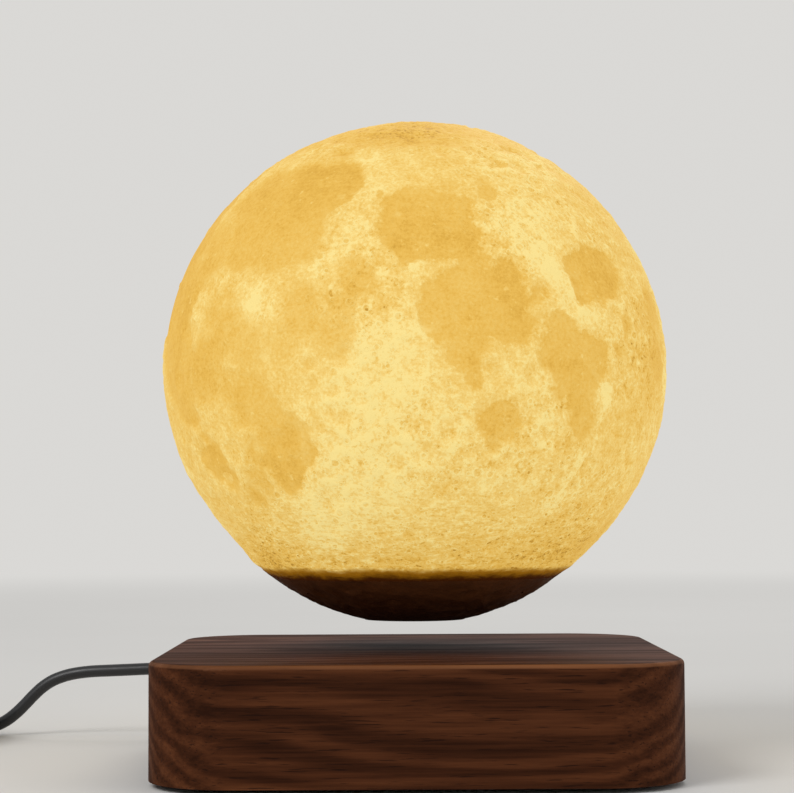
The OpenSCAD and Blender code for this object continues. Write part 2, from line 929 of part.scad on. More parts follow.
module adapter_board() {
    board_w = adapter_w - 6 * adapter_wall;
    front = split_y + face_lip + adapter_wall;
    color("darkgreen") translate([adapter_x - board_w / 2, front, adapter_wall + board_lift])
        cube([board_w, adapter_back - adapter_wall - fit - front, board_t]);
}

module on_adapter_board() {
    translate([adapter_x, adapter_back, adapter_wall + board_lift + board_t]) children();
}

module adapter_transformer() {
    color("goldenrod") on_adapter_board()
        translate([-transformer_size.x / 2, -transformer_back, 0]) cube(transformer_size);
}

module adapter_capacitor() {
    color("navy") on_adapter_board() translate([tank_spot.x, tank_spot.y, 0])
        cylinder(h = tank_h, r = tank_r);
}

base_shell();
bottom_plate();
rubber_feet();
plate_screws();
levitation_board();
magnet_frame();
frame_screws();
ring_magnet();
coil_cores();
coil_bobbins();
coil_windings();
sensor_header();
sensor_board();
hall_sensors();
driver_chips();
capacitors();
coil_plate();
transmitter_coil();
touch_pad();
touch_spring();
power_jack();
jack_nut();
jack_pin();
jack_leads();
globe_shell();
bottom_cap();
float_magnet();
receiver_coil();
ferrite_sheet();
led_tray();
tray_screws();
light_board();
leds();
receiver_parts();
receiver_leads();
plug_barrel();
plug_body();
plug_relief();
power_lead();
lead_coil();
coil_tie();
adapter_lead();
adapter_relief();
adapter_case();
adapter_face();
adapter_pins();
adapter_board();
adapter_transformer();
adapter_capacitor();
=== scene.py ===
"""A levitating moon lamp: a printed moon that floats over a walnut base, with its lead."""
import bpy
import json
import random
import numpy as np
from math import cos, sin, pi, radians, sqrt
from mathutils import Euler, Matrix, Vector, noise


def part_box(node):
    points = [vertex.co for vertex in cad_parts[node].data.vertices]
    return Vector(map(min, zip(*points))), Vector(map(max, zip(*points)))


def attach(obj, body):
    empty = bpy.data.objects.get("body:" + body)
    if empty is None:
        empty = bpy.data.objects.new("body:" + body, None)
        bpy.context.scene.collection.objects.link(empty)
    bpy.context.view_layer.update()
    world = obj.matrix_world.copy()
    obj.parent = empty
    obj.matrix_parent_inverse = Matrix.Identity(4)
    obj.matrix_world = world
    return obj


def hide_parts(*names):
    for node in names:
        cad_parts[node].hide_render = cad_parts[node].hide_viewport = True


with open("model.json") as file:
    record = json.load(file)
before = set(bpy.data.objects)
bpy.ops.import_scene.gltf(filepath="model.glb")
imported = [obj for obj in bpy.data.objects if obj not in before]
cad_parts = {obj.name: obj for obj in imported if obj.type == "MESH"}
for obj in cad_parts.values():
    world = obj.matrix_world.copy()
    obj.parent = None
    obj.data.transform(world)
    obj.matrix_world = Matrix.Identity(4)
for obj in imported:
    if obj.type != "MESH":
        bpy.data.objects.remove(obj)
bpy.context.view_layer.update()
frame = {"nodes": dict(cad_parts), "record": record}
MM = 0.001


def new_object(name, data):
    """An object for data that no operator adds."""
    made = bpy.data.objects.new(name, data)
    bpy.context.scene.collection.objects.link(made)
    return made


# ---------------------------------------------------------------- camera
CAMERA_AT = Vector((-4.97, -634.33, 73.57)) * MM
CAMERA_PITCH = radians(3.19)
CAMERA_ROLL = radians(-0.27)
LENS = 96.08
SENSOR = 36


def make_camera():
    data = bpy.data.cameras.new("camera")
    data.lens = LENS
    data.sensor_width = SENSOR
    camera = new_object("camera", data)
    camera.rotation_mode = "ZYX"
    camera.location = CAMERA_AT
    camera.rotation_euler = (radians(90) + CAMERA_PITCH, 0, CAMERA_ROLL)
    bpy.context.scene.camera = camera


# ------------------------------------------------------------- the lead
LEAD_D = 4
# Centre line from the plug's relief to the coil, in millimetres
LEAD_ROUTE = [
    (-76, 79.5, 22.5), (-82, 79.5, 22.5), (-88, 79.6, 22.4), (-95, 80, 22.1),
    (-102, 80.5, 21.8), (-108, 81, 21.5), (-113, 81.5, 20.9), (-117, 82, 20),
    (-121, 82.3, 18.5), (-124.5, 82.6, 16.3), (-127.5, 82.8, 13.6),
    (-130.5, 83, 10.5), (-133.5, 83.2, 7.6), (-137, 83.5, 5), (-141, 83.7, 3.2),
    (-146, 83.9, 2.4), (-152, 84, 2.4), (-158, 84, 2.8), (-162, 84, 3.2),
    (-166, 84, 3.2),
]
# From the coil to the adapter: right, forward, and the share of the way up
ADAPTER_STEPS = [
    (0, 0, 0), (0, -4, 0), (0.2, -7.8, 0.08), (1, -11.6, 0.32), (2, -15.4, 0.68),
    (2.8, -19.2, 0.92), (3, -23, 1), (3, -26, 1),
]
ADAPTER_AXIS_Z = 14
COIL_LAYERS = 4
COIL_TURNS = 1.9375
CLIMB_TURNS = 0.5
COIL_IN_R = 17.5
TURN_STEP = LEAD_D + 1.42
LAYER_STEP = LEAD_D + 0.8
COIL_OUT_R = COIL_IN_R + COIL_TURNS * TURN_STEP
ROUTE_END = Vector(LEAD_ROUTE[-1])
COIL_AT = Vector((ROUTE_END.x - LEAD_D, ROUTE_END.y - COIL_OUT_R, ROUTE_END.z))
STEPS_PER_TURN = 48


def coil_point(turn):
    """A point of the coil's centre line, which is wound inwards and outwards by turns."""
    layer_turns = COIL_TURNS + CLIMB_TURNS
    layer = min(COIL_LAYERS - 1, int(turn / layer_turns))
    part = turn - layer * layer_turns
    run = min(part, COIL_TURNS) * TURN_STEP
    radius = COIL_OUT_R - run if layer % 2 == 0 else COIL_IN_R + run
    climb = max(0, part - COIL_TURNS) / CLIMB_TURNS
    angle = pi / 2 + 2 * pi * turn
    up = LAYER_STEP * (layer + climb)
    return COIL_AT + Vector((radius * cos(angle), radius * sin(angle), up))


def smooth_line(points, steps=4):
    """A dense list of points on a curve through the given ones."""
    line = []
    for i in range(len(points) - 1):
        before = points[max(i - 1, 0)]
        here, there = points[i], points[i + 1]
        after = points[min(i + 2, len(points) - 1)]
        for k in range(steps):
            t = k / steps
            line.append(0.5 * (
                2 * here + (there - before) * t
                + (2 * before - 5 * here + 4 * there - after) * t * t
                + (3 * here - before - 3 * there + after) * t ** 3
            ))
    return line + [points[-1]]


def lead_line():
    """The whole centre line of the lead, in metres."""
    turns = COIL_LAYERS * (COIL_TURNS + CLIMB_TURNS) - CLIMB_TURNS
    steps = round(turns * STEPS_PER_TURN)
    coil = [coil_point(turns * i / steps) for i in range(steps + 1)]
    coil_end = coil[-1] - Vector((0, LEAD_D, 0))
    rise = ADAPTER_AXIS_Z - coil_end.z
    last = [coil_end + Vector((x, y, rise * share)) for x, y, share in ADAPTER_STEPS]
    first = [Vector(p) for p in LEAD_ROUTE]
    return [p * MM for p in smooth_line(first) + coil + smooth_line(last)]


def make_lead():
    line = lead_line()
    data = bpy.data.curves.new("lead", "CURVE")
    data.dimensions = "3D"
    data.bevel_depth = LEAD_D / 2 * MM
    data.bevel_resolution = 6
    data.use_fill_caps = True
    data.materials.append(FINISHES["lead_pvc"])
    spline = data.splines.new("POLY")
    spline.points.add(len(line) - 1)
    for point, spot in zip(spline.points, line):
        point.co = (*spot, 1)
    lead = new_object("lead", data)
    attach(lead, "base")
    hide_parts("power_lead", "lead_coil", "adapter_lead")


# --------------------------------------------------------------- the moon
GLOBE_LOW, GLOBE_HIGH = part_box("globe_shell")
MOON_R = (GLOBE_HIGH.x - GLOBE_LOW.x) / 2
MOON_AT = Vector((0, 0, GLOBE_HIGH.z - MOON_R))
SEAM_Z = GLOBE_LOW.z - MOON_AT.z
GLOBE_WALL = 2 * MM
CAP_FLAT_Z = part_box("bottom_cap")[0].z - MOON_AT.z
# How the map is turned on the globe: its middle faces -Y before the turn
MAP_TURN = Euler((radians(-2.1), radians(-0.54), radians(-16.04)))
KM_PER_DEGREE = 30.3

# Round parts of the seas: latitude, longitude and radius in degrees, and darkness
SEAS = [
    (15.8, 57.5, 5.7, 1), (17, 60.5, 6.6, 1), (17.2, 63.5, 6.2, 1),
    (26.5, 18.3, 9.8, 0.78), (30, 24.5, 5.5, 0.82), (23, 25, 6, 0.80), (32, 14, 5, 0.82),
    (8, 27, 9.5, 0.84), (5, 22, 5, 0.80), (10, 35, 6.3, 0.92), (15, 36.5, 3.4, 0.92),
    (17.6, 27, 2.5, 0.8), (17.5, 30, 1.8, 0.8),
    (10.5, 42.5, 2.6, 0.9), (11, 45, 1.5, 0.9), (5, 36.5, 5.2, 0.9), (-2, 26, 4.2, 0.8),
    (-7, 28, 2.6, 0.7),
    (-1, 49, 6.2, 0.86), (5, 47.5, 3.2, 0.80), (-2, 55.5, 5.8, 0.88), (0.5, 59, 3.2, 0.85),
    (-8.5, 52, 5, 0.9), (-15, 54.8, 4, 0.8), (-20, 52.5, 1.8, 0.6),
    (-15.5, 34.2, 5, 0.78), (-21, 33, 2.2, 0.6),
    (14, 3, 4.2, 0.6), (9, 0.5, 3, 0.5), (2, -1, 4, 0.55), (10, -8, 4, 0.6), (5, -8, 4, 0.6),
    (35, -19, 12.5, 0.95), (40, -7.5, 7.5, 0.95), (27, -13, 7, 0.75), (28, -25, 10.5, 0.85),
    (38, -32, 8, 0.9), (23, -18, 6, 0.6), (22.5, -9, 3, 0.7), (44, -31.5, 3.5, 1),
    (56, -45, 3.2, 0.45), (57, -38, 3.2, 0.4), (59, -31, 3, 0.4), (60, -24, 3, 0.35),
    (60, -16, 3, 0.4), (59, -9, 3.2, 0.35), (57.5, -2, 3.2, 0.4), (56.5, 5, 3, 0.45),
    (55.5, 12, 3, 0.4), (54.5, 19, 3, 0.4), (54.5, 26, 2.4, 0.4), (55, 33, 2, 0.4),
    (37.2, 26, 2.2, 0.5), (36.3, 35, 2.2, 0.7), (39.5, 35.5, 1.4, 0.5),
    (26, -60, 12, 0.98), (12, -54, 12, 0.95), (40, -60, 9, 0.98), (48, -54, 6, 0.85),
    (0, -50, 10, 0.85), (-9, -47, 6, 0.8), (24, -42, 8, 0.85), (14, -68, 7, 1.0),
    (6, -31, 8, 0.6), (2, -22, 6, 0.6), (-3, -36, 7, 0.75), (0, -12, 3.5, 0.5),
    (-10, -23, 6, 0.85), (-7, -28, 4, 0.7), (-20.5, -14.5, 7.8, 0.95), (-22, -22, 4, 0.8),
    (-15, -17, 5, 0.7), (-25, -16, 5, 0.9), (-28, -25, 3.5, 0.6),
    (-23.3, -39.8, 5.2, 1.1), (-27.5, -36.5, 3.2, 1), (-32, -28.5, 3, 0.8), (-17.5, -40, 1.6, 0.5),
    (57, 81, 3.5, 0.7), (13, 86, 5, 0.6), (0, 87, 5.5, 0.6), (6.8, 68.5, 2.4, 0.7),
    (1, 65, 1.8, 0.7), (-42, 92, 6, 0.5), (-47, 86, 3, 0.5),
    (-5.3, -68.5, 2, 1), (50.6, -8.3, 1.7, 1), (53.6, 56.5, 1.8, 1), (46.5, 44, 1, 0.7),
    (27, 148, 4.5, 0.9), (25, 143, 2.5, 0.7), (-34, 163, 4.2, 0.8), (-20.4, 129, 2.6, 1),
    (-19, -94, 4.5, 0.8), (-36, -151, 5, 0.5), (-45, 176, 7, 0.4), (-53, -165, 8, 0.4),
    (-40, -160, 6, 0.35), (4, 141, 2.5, 0.4),
]
# Broad bright and dull parts of the highlands: latitude, longitude, radius and strength
LANDS = [
    (-14, 6, 17, 0.20), (-33, 0, 13, 0.20), (-30, 30, 12, 0.08), (2, 13, 7, 0.14),
    (-4, 10, 8, 0.10), (37, 8, 3.5, 0.22), (26, 3, 3, 0.14), (22, 1, 3, 0.26), (19, -3, 3, 0.2),
    (15.5, -6, 3, 0.22), (47, 2, 5, 0.16), (46, 12, 5, 0.12), (34, 49, 13, 0.14),
    (27, 42, 6, 0.16), (20, 45.5, 3.5, 0.24), (15, 48.5, 3, 0.26), (10.5, 51, 3, 0.26),
    (7, 56, 3.5, 0.24), (4, 62, 3.5, 0.14), (16, 16.5, 2, 0.08), (-8, 37, 6, 0.12),
    (-16, 42, 4, 0.08), (72, 0, 18, -0.22), (59, 4, 7, -0.15), (58, 22, 8, -0.17),
    (-50, -45, 12, -0.14), (-24, 46, 10, 0.05), (13.5, 43.4, 3, -0.16),
    (-62, 20, 26, -0.10), (76, 20, 20, -0.12), (-46, -38, 16, -0.02), (-8, 80, 12, -0.10),
    (-20, -62, 14, -0.06), (6, 83, 10, -0.16), (-42, 68, 14, -0.12),
    (-48, 84, 12, -0.08), (36, 74, 8, -0.06), (10, 6, 5, -0.10),
]
# Where a shore fades out under bright dust: latitude, longitude, radius and strength
SOFT_SHORES = [
    (10, -38, 20, 1.0), (-6, -28, 14, 0.9), (22, -6, 7, 0.5), (2, -8, 10, 0.8),
    (60, 0, 14, 0.8), (58, -40, 12, 0.7), (-33, -25, 5, 0.3), (-36, 30, 12, 0.4),
    (36, -30, 10, 0.5), (0, 87, 12, 0.7), (-10, 48, 6, 0.3), (42, -68, 16, 0.8),
]
# Rough ground, full of small dark hollows: latitude, longitude, radius and strength
ROUGH_LANDS = [
    (24, 39, 7, 0.9), (3, 72, 9, 1.0), (24, 67, 6, 0.8), (36, 60, 12, 0.35), (-16, 44, 8, 0.9),
    (8, 10, 6, 0.8), (12, -2, 7, 0.7), (20, 2, 7, 0.6), (-38, 0, 22, 0.6), (-46, 25, 22, 0.8),
    (-46, -22, 18, 0.8), (-28, 44, 12, 0.6), (46, 40, 8, 0.35), (-35, 60, 14, 0.7),
]
# Bright spots with rays: latitude, longitude, reach of the rays, glow's radius, strength
RAYED = [
    (-43.3, -11.4, 34, 6, 0.20), (9.6, -20.1, 9, 5, 0.22), (10, -20.6, 3, 1.6, 0.26),
    (7.5, -38, 6, 3, 0.12),
    (23.7, -47.4, 6, 2.2, 0.16), (16.1, 46.8, 9, 1.6, 0.30), (-8.9, 61, 9, 3.2, 0.22),
    (-32.5, 54.2, 13, 2.6, 0.30), (73, -10, 14, 3, 0.26), (-24.7, -63.8, 13, 2, 0.30),
    (14.5, 9.1, 3, 1.2, 0.34), (16.3, 16, 2.2, 0.9, 0.34), (-29.7, 32.2, 5, 1.5, 0.10),
    (27.7, 56, 5, 1.6, 0.10), (29.5, 12, 2, 0.8, 0.2), (2.8, 17.3, 3.5, 1.1, 0.26),
    (-1.5, -17, 2.5, 1.1, 0.2), (-20.7, -22.2, 3, 1.4, 0.22), (21.8, 17.9, 2, 0.7, 0.2),
    (-9, 44, 2, 0.8, 0.2), (35, -3, 2.6, 1.0, 0.16), (-3, 95, 14, 3, 0.25),
    (36, 102, 22, 4, 0.20), (-10, 160, 16, 3, 0.28), (4, -125, 14, 3, 0.24),
    (61, 160, 14, 3, 0.24), (-58, -150, 15, 3, 0.26), (-12, -150, 10, 2.5, 0.22),
]
# Craters large enough to be told apart: latitude, longitude and width in kilometres
CRATERS = [
    (-58.4, -14.4, 225), (-43.3, -11.4, 85), (-50, -6.2, 163), (-49.5, -21.7, 145),
    (-9.2, -1.8, 153), (-13.4, -2.8, 119), (-18.2, -1.9, 97), (-11.2, 4.1, 136),
    (-5.5, 4.8, 150), (-11.4, 26.4, 100), (-13.2, 24, 98), (-18, 23.6, 100),
    (-29.7, 32.2, 88), (-8.9, 60.9, 132), (-16.3, 61.8, 147), (-25.1, 60.4, 182),
    (-36.3, 60.4, 125), (-45, 41.5, 190), (-41.1, 6, 126), (-41.8, 14, 114),
    (-33, 0.7, 140), (-25.5, -1.9, 118), (-32.5, -5.2, 234), (9.6, -20.1, 93),
    (14.5, -11.3, 58), (51.6, -9.4, 101), (29.7, -4, 83), (50.2, 17.4, 87),
    (44.3, 16.3, 67), (31.8, 29.9, 95), (46.7, 44.4, 87), (46.7, 39.1, 69),
    (53.9, 57, 123), (27.7, 56, 126), (35.7, 79, 177), (39.2, 60.5, 125),
    (21.3, 46, 64), (16.1, 46.8, 35), (5.6, 46.5, 56), (-21.5, 33.2, 124),
    (-17.6, -40.1, 110), (-44.3, -55.3, 206), (-5.5, -68.3, 172), (2.2, -67.6, 115),
    (23.7, -47.4, 42), (8.1, -38, 36), (-20.7, -22.2, 61), (-29.9, -13.5, 101),
    (-27, 80.9, 189), (-66, 4, 120), (-70, -30, 150), (-62, 42, 130), (70, 60, 140),
    (75, -40, 130), (64, -63, 155), (-51.6, 24.5, 100), (-36, 30, 90), (-30, 13, 100),
    (1.4, -128.7, 480), (-36.1, -151.8, 460), (-4.4, -157.4, 400), (5.7, 140.9, 300),
    (-20.2, 149.2, 262), (-20.4, 129.1, 185), (-57.9, 136.8, 314), (-75, 132.4, 312),
    (58.7, -146.1, 330), (-19.3, 122.6, 183), (-11.5, 104.6, 233), (45, -118, 300),
    (-10.4, 44.8, 90), (-14.5, 45.5, 80), (-18.5, 46.5, 90), (-6.5, 43.5, 60),
    (32, 178, 220), (-65, -110, 240), (20, -170, 150), (10, 115, 180), (48, 110, 200),
]
# Seeded craters: how many, their least and greatest radius, and the least of one in a sea
SMALL_CRATERS = 1500
SMALLEST_R, LARGEST_R, IN_SEA_R = 0.85, 3.4, 2.9
# A crater's floor and its rim's height and width, in parts of its radius and depth
FLOOR_R_SHARE, RIM_UP, RIM_WIDE = 0.35, 0.45, 0.22
# How far from a shore its distance is kept, in degrees
SHORE_REACH = 4


def place(latitude, longitude):
    """The direction of a place on the map, before the map is turned."""
    la, lo = radians(latitude), radians(longitude)
    return np.array((cos(la) * sin(lo), -cos(la) * cos(lo), sin(la)))


def smooth(values):
    t = np.clip(values, 0, 1)
    return t * t * (3 - 2 * t)


def degrees_from(points, spot):
    return np.degrees(np.arccos(np.clip(points @ spot, -1, 1)))


def cloud(points, scale, octaves, seed=0.0):
    """Fractal noise at each point, from about -1 to 1."""
    move = Vector((seed, 7 - seed, 3 * seed))
    return np.array([noise.fractal(Vector(p) * scale + move, 0.9, 2, octaves) for p in points])


def seas_at(points):
    """How far inside a sea each point lies, in degrees, and how dark that sea is."""
    shift = 1.3 * cloud(points, 6, 6) + 1.1 * cloud(points, 16, 4, 5)
    shore = np.full(len(points), -float(SHORE_REACH))
    total, weight = np.zeros(len(points)), np.full(len(points), 1e-9)
    for latitude, longitude, radius, darkness in SEAS:
        inside = radius - degrees_from(points, place(latitude, longitude)) + shift
        shore = np.maximum(shore, inside)
        near = np.exp(np.clip(inside, -12, 3) / 1.2)
        total += near * darkness
        weight += near
    return np.clip(shore, -SHORE_REACH, SHORE_REACH), total / weight


def patches_at(points, patches):
    """Soft round patches, each at a latitude and longitude with a radius and a strength."""
    value = np.zeros(len(points))
    for latitude, longitude, radius, strength in patches:
        away = degrees_from(points, place(latitude, longitude))
        value += strength * np.exp(-(away / radius) ** 2)
    return value


def rays_at(points):
    """The extra brightness of the rayed spots."""
    light = np.zeros(len(points))
    for seed, (latitude, longitude, reach, glow, strength) in enumerate(RAYED):
        spot = place(latitude, longitude)
        away = degrees_from(points, spot)
        near = np.flatnonzero(away < 2.2 * reach)
        east = np.cross((0, 0, 1), spot)
        east /= np.linalg.norm(east)
        north = np.cross(spot, east)
        across, along = points[near] @ east, points[near] @ north
        bearing = np.arctan2(across, along)
        spokes = np.array([
            noise.noise(Vector((6 * cos(b), 6 * sin(b), 3.1 * seed))) for b in bearing
        ])
        fade = np.exp(-away[near] / (0.6 * reach))
        light[near] += strength * 1.3 * smooth(1.9 * spokes - 0.05) * fade
        light[near] += strength * np.exp(-(away[near] / glow) ** 2)
    return light


def dig(points, height, tone, spot, radius, depth):
    """One crater: a bowl with a flat floor, a raised rim and a slope outside it."""
    away = degrees_from(points, spot) / radius
    near = np.flatnonzero(away < 2)
    t = away[near]
    bowl = -depth * (1 - smooth((t - FLOOR_R_SHARE) / (1 - FLOOR_R_SHARE)))
    rim = RIM_UP * depth * np.exp(-((t - 1) / RIM_WIDE) ** 2)
    height[near] += bowl + rim
    tone[near] += 0.10 * np.exp(-((t - 0.95) / 0.2) ** 2) - 0.05 * (1 - smooth((t - 0.3) / 0.5))


def crater_places():
    """Seeded small craters, most of them in the highlands."""
    rng = random.Random(7)
    spots = []
    while len(spots) < SMALL_CRATERS:
        spot = np.array([rng.gauss(0, 1) for _ in range(3)])
        spot /= np.linalg.norm(spot)
        radius = min(LARGEST_R, SMALLEST_R * (1 - rng.random()) ** -0.5)
        spots.append((spot, radius))
    shore = seas_at(np.array([spot for spot, radius in spots]))[0]
    return [row for row, inside in zip(spots, shore) if inside < 0 or row[1] > IN_SEA_R]


def moon_surface(directions):
    """The relief's height in metres, and what the print's colour goes by, in each direction."""
    points = directions @ np.array(MAP_TURN.to_matrix())
    shore, darkness = seas_at(points)
    sea = darkness * smooth(shore / 1.4 + 0.5)
    land = 1 - sea
    broad = cloud(points, 3, 4, 11)
    ridges = np.abs(cloud(points, 9, 5, 17))
    fine = cloud(points, 30, 3, 23)
    rough = np.clip(0.35 + 0.5 * broad + patches_at(points, ROUGH_LANDS), 0, 1)
    height = 0.25 * broad - 0.65 * sea + land * (0.12 - 0.65 * ridges + 0.10 * fine)
    tone = 0.66 + 0.06 * broad + 0.05 * fine - 0.14 * ridges + patches_at(points, LANDS)
    small = np.zeros(len(points))
    for latitude, longitude, width in CRATERS:
        radius = width / 2 / KM_PER_DEGREE
        spot = place(latitude, longitude)
        dig(points, height, small, spot, radius, min(0.5, 0.16 + 0.1 * radius))
    for spot, radius in crater_places():
        dig(points, height, small, spot, radius, 0.12 + 0.09 * radius)
    maps = {
        "tone": tone + small * (0.5 + 0.5 * land),
        "shore": shore,
        "sea": darkness * (0.92 + 0.24 * broad + 0.10 * fine),
        "rough": rough,
        "rays": rays_at(points),
        "softness": np.clip(patches_at(points, SOFT_SHORES), 0, 1),
    }
    return height * MM, maps


# Where the printed ball is a little flat: a direction, its reach in degrees and the depth
SAGS = [((-0.84, -0.15, -0.52), 30, 1.3 * MM), ((-0.25, 0, 0.97), 22, 0.7 * MM)]
PINCH = 1.6 * MM
PINCH_FROM_Z = -22 * MM
SEAM_CALM = 4 * MM
# How much of the relief is left at the seam and at the cap's flat
AT_SEAM, AT_FLAT = 0.15, 0.1
SEAM_R = sqrt(MOON_R ** 2 - SEAM_Z ** 2)


def relief_shift(away, directions, height):
    """How the surface moves: by its relief, which is calm at the seam, and in at its low part."""
    z = away[:, 2]
    calm = AT_SEAM + (1 - AT_SEAM) * smooth(np.abs(z - SEAM_Z) / SEAM_CALM)
    calm *= AT_FLAT + (1 - AT_FLAT) * smooth((z - CAP_FLAT_Z) / SEAM_CALM)
    raised = height * calm
    for toward, reach, depth in SAGS:
        spot = np.array(Vector(toward).normalized())
        sag = depth * np.exp(-(degrees_from(directions, spot) / reach) ** 2)
        raised -= sag * smooth((z - SEAM_Z) / (3 * SEAM_CALM))
    shift = directions * raised[:, None]
    pinch = PINCH * smooth((PINCH_FROM_Z - z) / (PINCH_FROM_Z - SEAM_Z)) / SEAM_R
    across = np.linalg.norm(away[:, :2], axis=1)
    pinch *= np.minimum(1, SEAM_R / np.maximum(across, MM))
    shift[:, :2] -= away[:, :2] * pinch[:, None]
    return shift


def coordinates(mesh):
    co = np.zeros(len(mesh.vertices) * 3)
    mesh.vertices.foreach_get("co", co)
    return co.reshape(-1, 3)


UNLIT_MAPS = {"tone": 0.55, "shore": -4, "sea": 0, "rough": 0, "rays": 0, "softness": 0}


def raise_relief(mesh, shows, with_maps):
    """Moves the vertices that show by the moon's relief, and stores the maps for the print."""
    co = coordinates(mesh)
    away = co - np.array(MOON_AT)
    directions = away / np.linalg.norm(away, axis=1)[:, None]
    height, maps = moon_surface(directions[shows])
    co[shows] += relief_shift(away[shows], directions[shows], height)
    mesh.vertices.foreach_set("co", co.ravel())
    for name, values in maps.items() if with_maps else ():
        everywhere = np.full(len(co), float(UNLIT_MAPS[name]))
        everywhere[shows] = values
        made = mesh.attributes.new(name, "FLOAT", "POINT")
        made.data.foreach_set("value", everywhere.astype(np.float32))
    mesh.update()


# ------------------------------------------------------ modelling helpers
WELD = 0.002 * MM
ALONG_Y = (pi / 2, 0, 0)


def start_piece(name):
    """Names the object that an operator has just added."""
    piece = bpy.context.object
    piece.name = name
    piece.data.name = name
    return piece


def deselect():
    bpy.ops.object.select_all(action="DESELECT")


def pick(piece):
    """Makes the piece the only one that is selected."""
    deselect()
    piece.select_set(True)
    bpy.context.view_layer.objects.active = piece


def settle(piece):
    """Applies the piece's own place, turn and scale to its mesh."""
    pick(piece)
    bpy.ops.object.transform_apply(location=True, rotation=True, scale=True)


def edit(mode="VERT"):
    bpy.ops.object.mode_set(mode="EDIT")
    bpy.ops.mesh.select_mode(type=mode)


def select_all(action="SELECT"):
    bpy.ops.mesh.select_all(action=action)


def finish_edit():
    bpy.ops.object.mode_set(mode="OBJECT")


def apply_modifier(piece, kind, **settings):
    """Adds a modifier with its settings, and applies it."""
    made = piece.modifiers.new(kind.lower(), kind)
    for name, value in settings.items():
        setattr(made, name, value)
    pick(piece)
    bpy.ops.object.modifier_apply(modifier=made.name)


def round_edges(piece, width, segments, angle):
    """Bevels every edge that is sharper than the angle."""
    apply_modifier(piece, "BEVEL", width=width * MM, segments=segments, limit_method="ANGLE",
                   angle_limit=radians(angle))


def unite(piece, other, operation="UNION"):
    """Joins another solid to the piece, or cuts it from it, and removes it."""
    apply_modifier(piece, "BOOLEAN", operation=operation, solver="EXACT", object=other)
    bpy.data.objects.remove(other)


def arc_points(radius, from_angle, to_angle, count, middle=(0, 0)):
    """Points on an arc, in radii and heights. Angles are in degrees from level."""
    spots = []
    for i in range(count + 1):
        angle = radians(from_angle + (to_angle - from_angle) * i / count)
        spots.append((middle[0] + radius * cos(angle), middle[1] + radius * sin(angle)))
    return spots


def trace(name, points):
    """A new piece that is a line through points in millimetres. It stays in edit mode."""
    points = [Vector([part * MM for part in point]) for point in points]
    deselect()
    bpy.ops.mesh.primitive_plane_add(size=MM)
    piece = start_piece(name)
    edit()
    select_all()
    bpy.ops.mesh.merge(type="CENTER")
    bpy.ops.transform.translate(value=points[0])
    for here, there in zip(points, points[1:]):
        bpy.ops.mesh.extrude_region_move(TRANSFORM_OT_translate={"value": there - here})
    select_all()
    bpy.ops.mesh.remove_doubles(threshold=WELD)
    select_all()
    return piece


def weld():
    """Merges the points that lie together, turns all faces outwards and ends the editing."""
    select_all()
    bpy.ops.mesh.remove_doubles(threshold=WELD)
    bpy.ops.mesh.normals_make_consistent(inside=False)
    finish_edit()


def turned_to(direction, at):
    """The place of a lathed piece whose own +Z is to point in a direction."""
    turn = Vector(direction).to_track_quat("Z", "Y").to_matrix().to_4x4()
    turn.translation = at
    return turn


def lathe(name, section, steps, turn):
    """Spins a section of radii and heights in millimetres about Z, and puts it in its place."""
    piece = trace(name, [(r, 0, z) for r, z in section])
    bpy.ops.mesh.spin(steps=steps, angle=2 * pi, center=(0, 0, 0), axis=(0, 0, 1))
    weld()
    piece.matrix_world = turn
    settle(piece)
    return piece


def rod(name, sides, radius, long, at, turn=(0, 0, 0)):
    """A cylinder to be joined to a piece or cut from it."""
    deselect()
    bpy.ops.mesh.primitive_cylinder_add(vertices=sides, radius=radius, depth=long, location=at,
                                        rotation=turn)
    return start_piece(name)


def finish_piece(piece, body, node, slot, smooth_angle=35):
    """Puts the piece's place in its mesh, smooths it, and says what it is."""
    settle(piece)
    bpy.ops.object.shade_smooth_by_angle(angle=radians(smooth_angle))
    piece.data.materials.clear()
    piece.data.materials.append(FINISHES[slot])
    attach(piece, body)
    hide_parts(node)


# --------------------------------------------------------- globe and cap
GRID_CUTS = 10
DOME_RINGS = 14


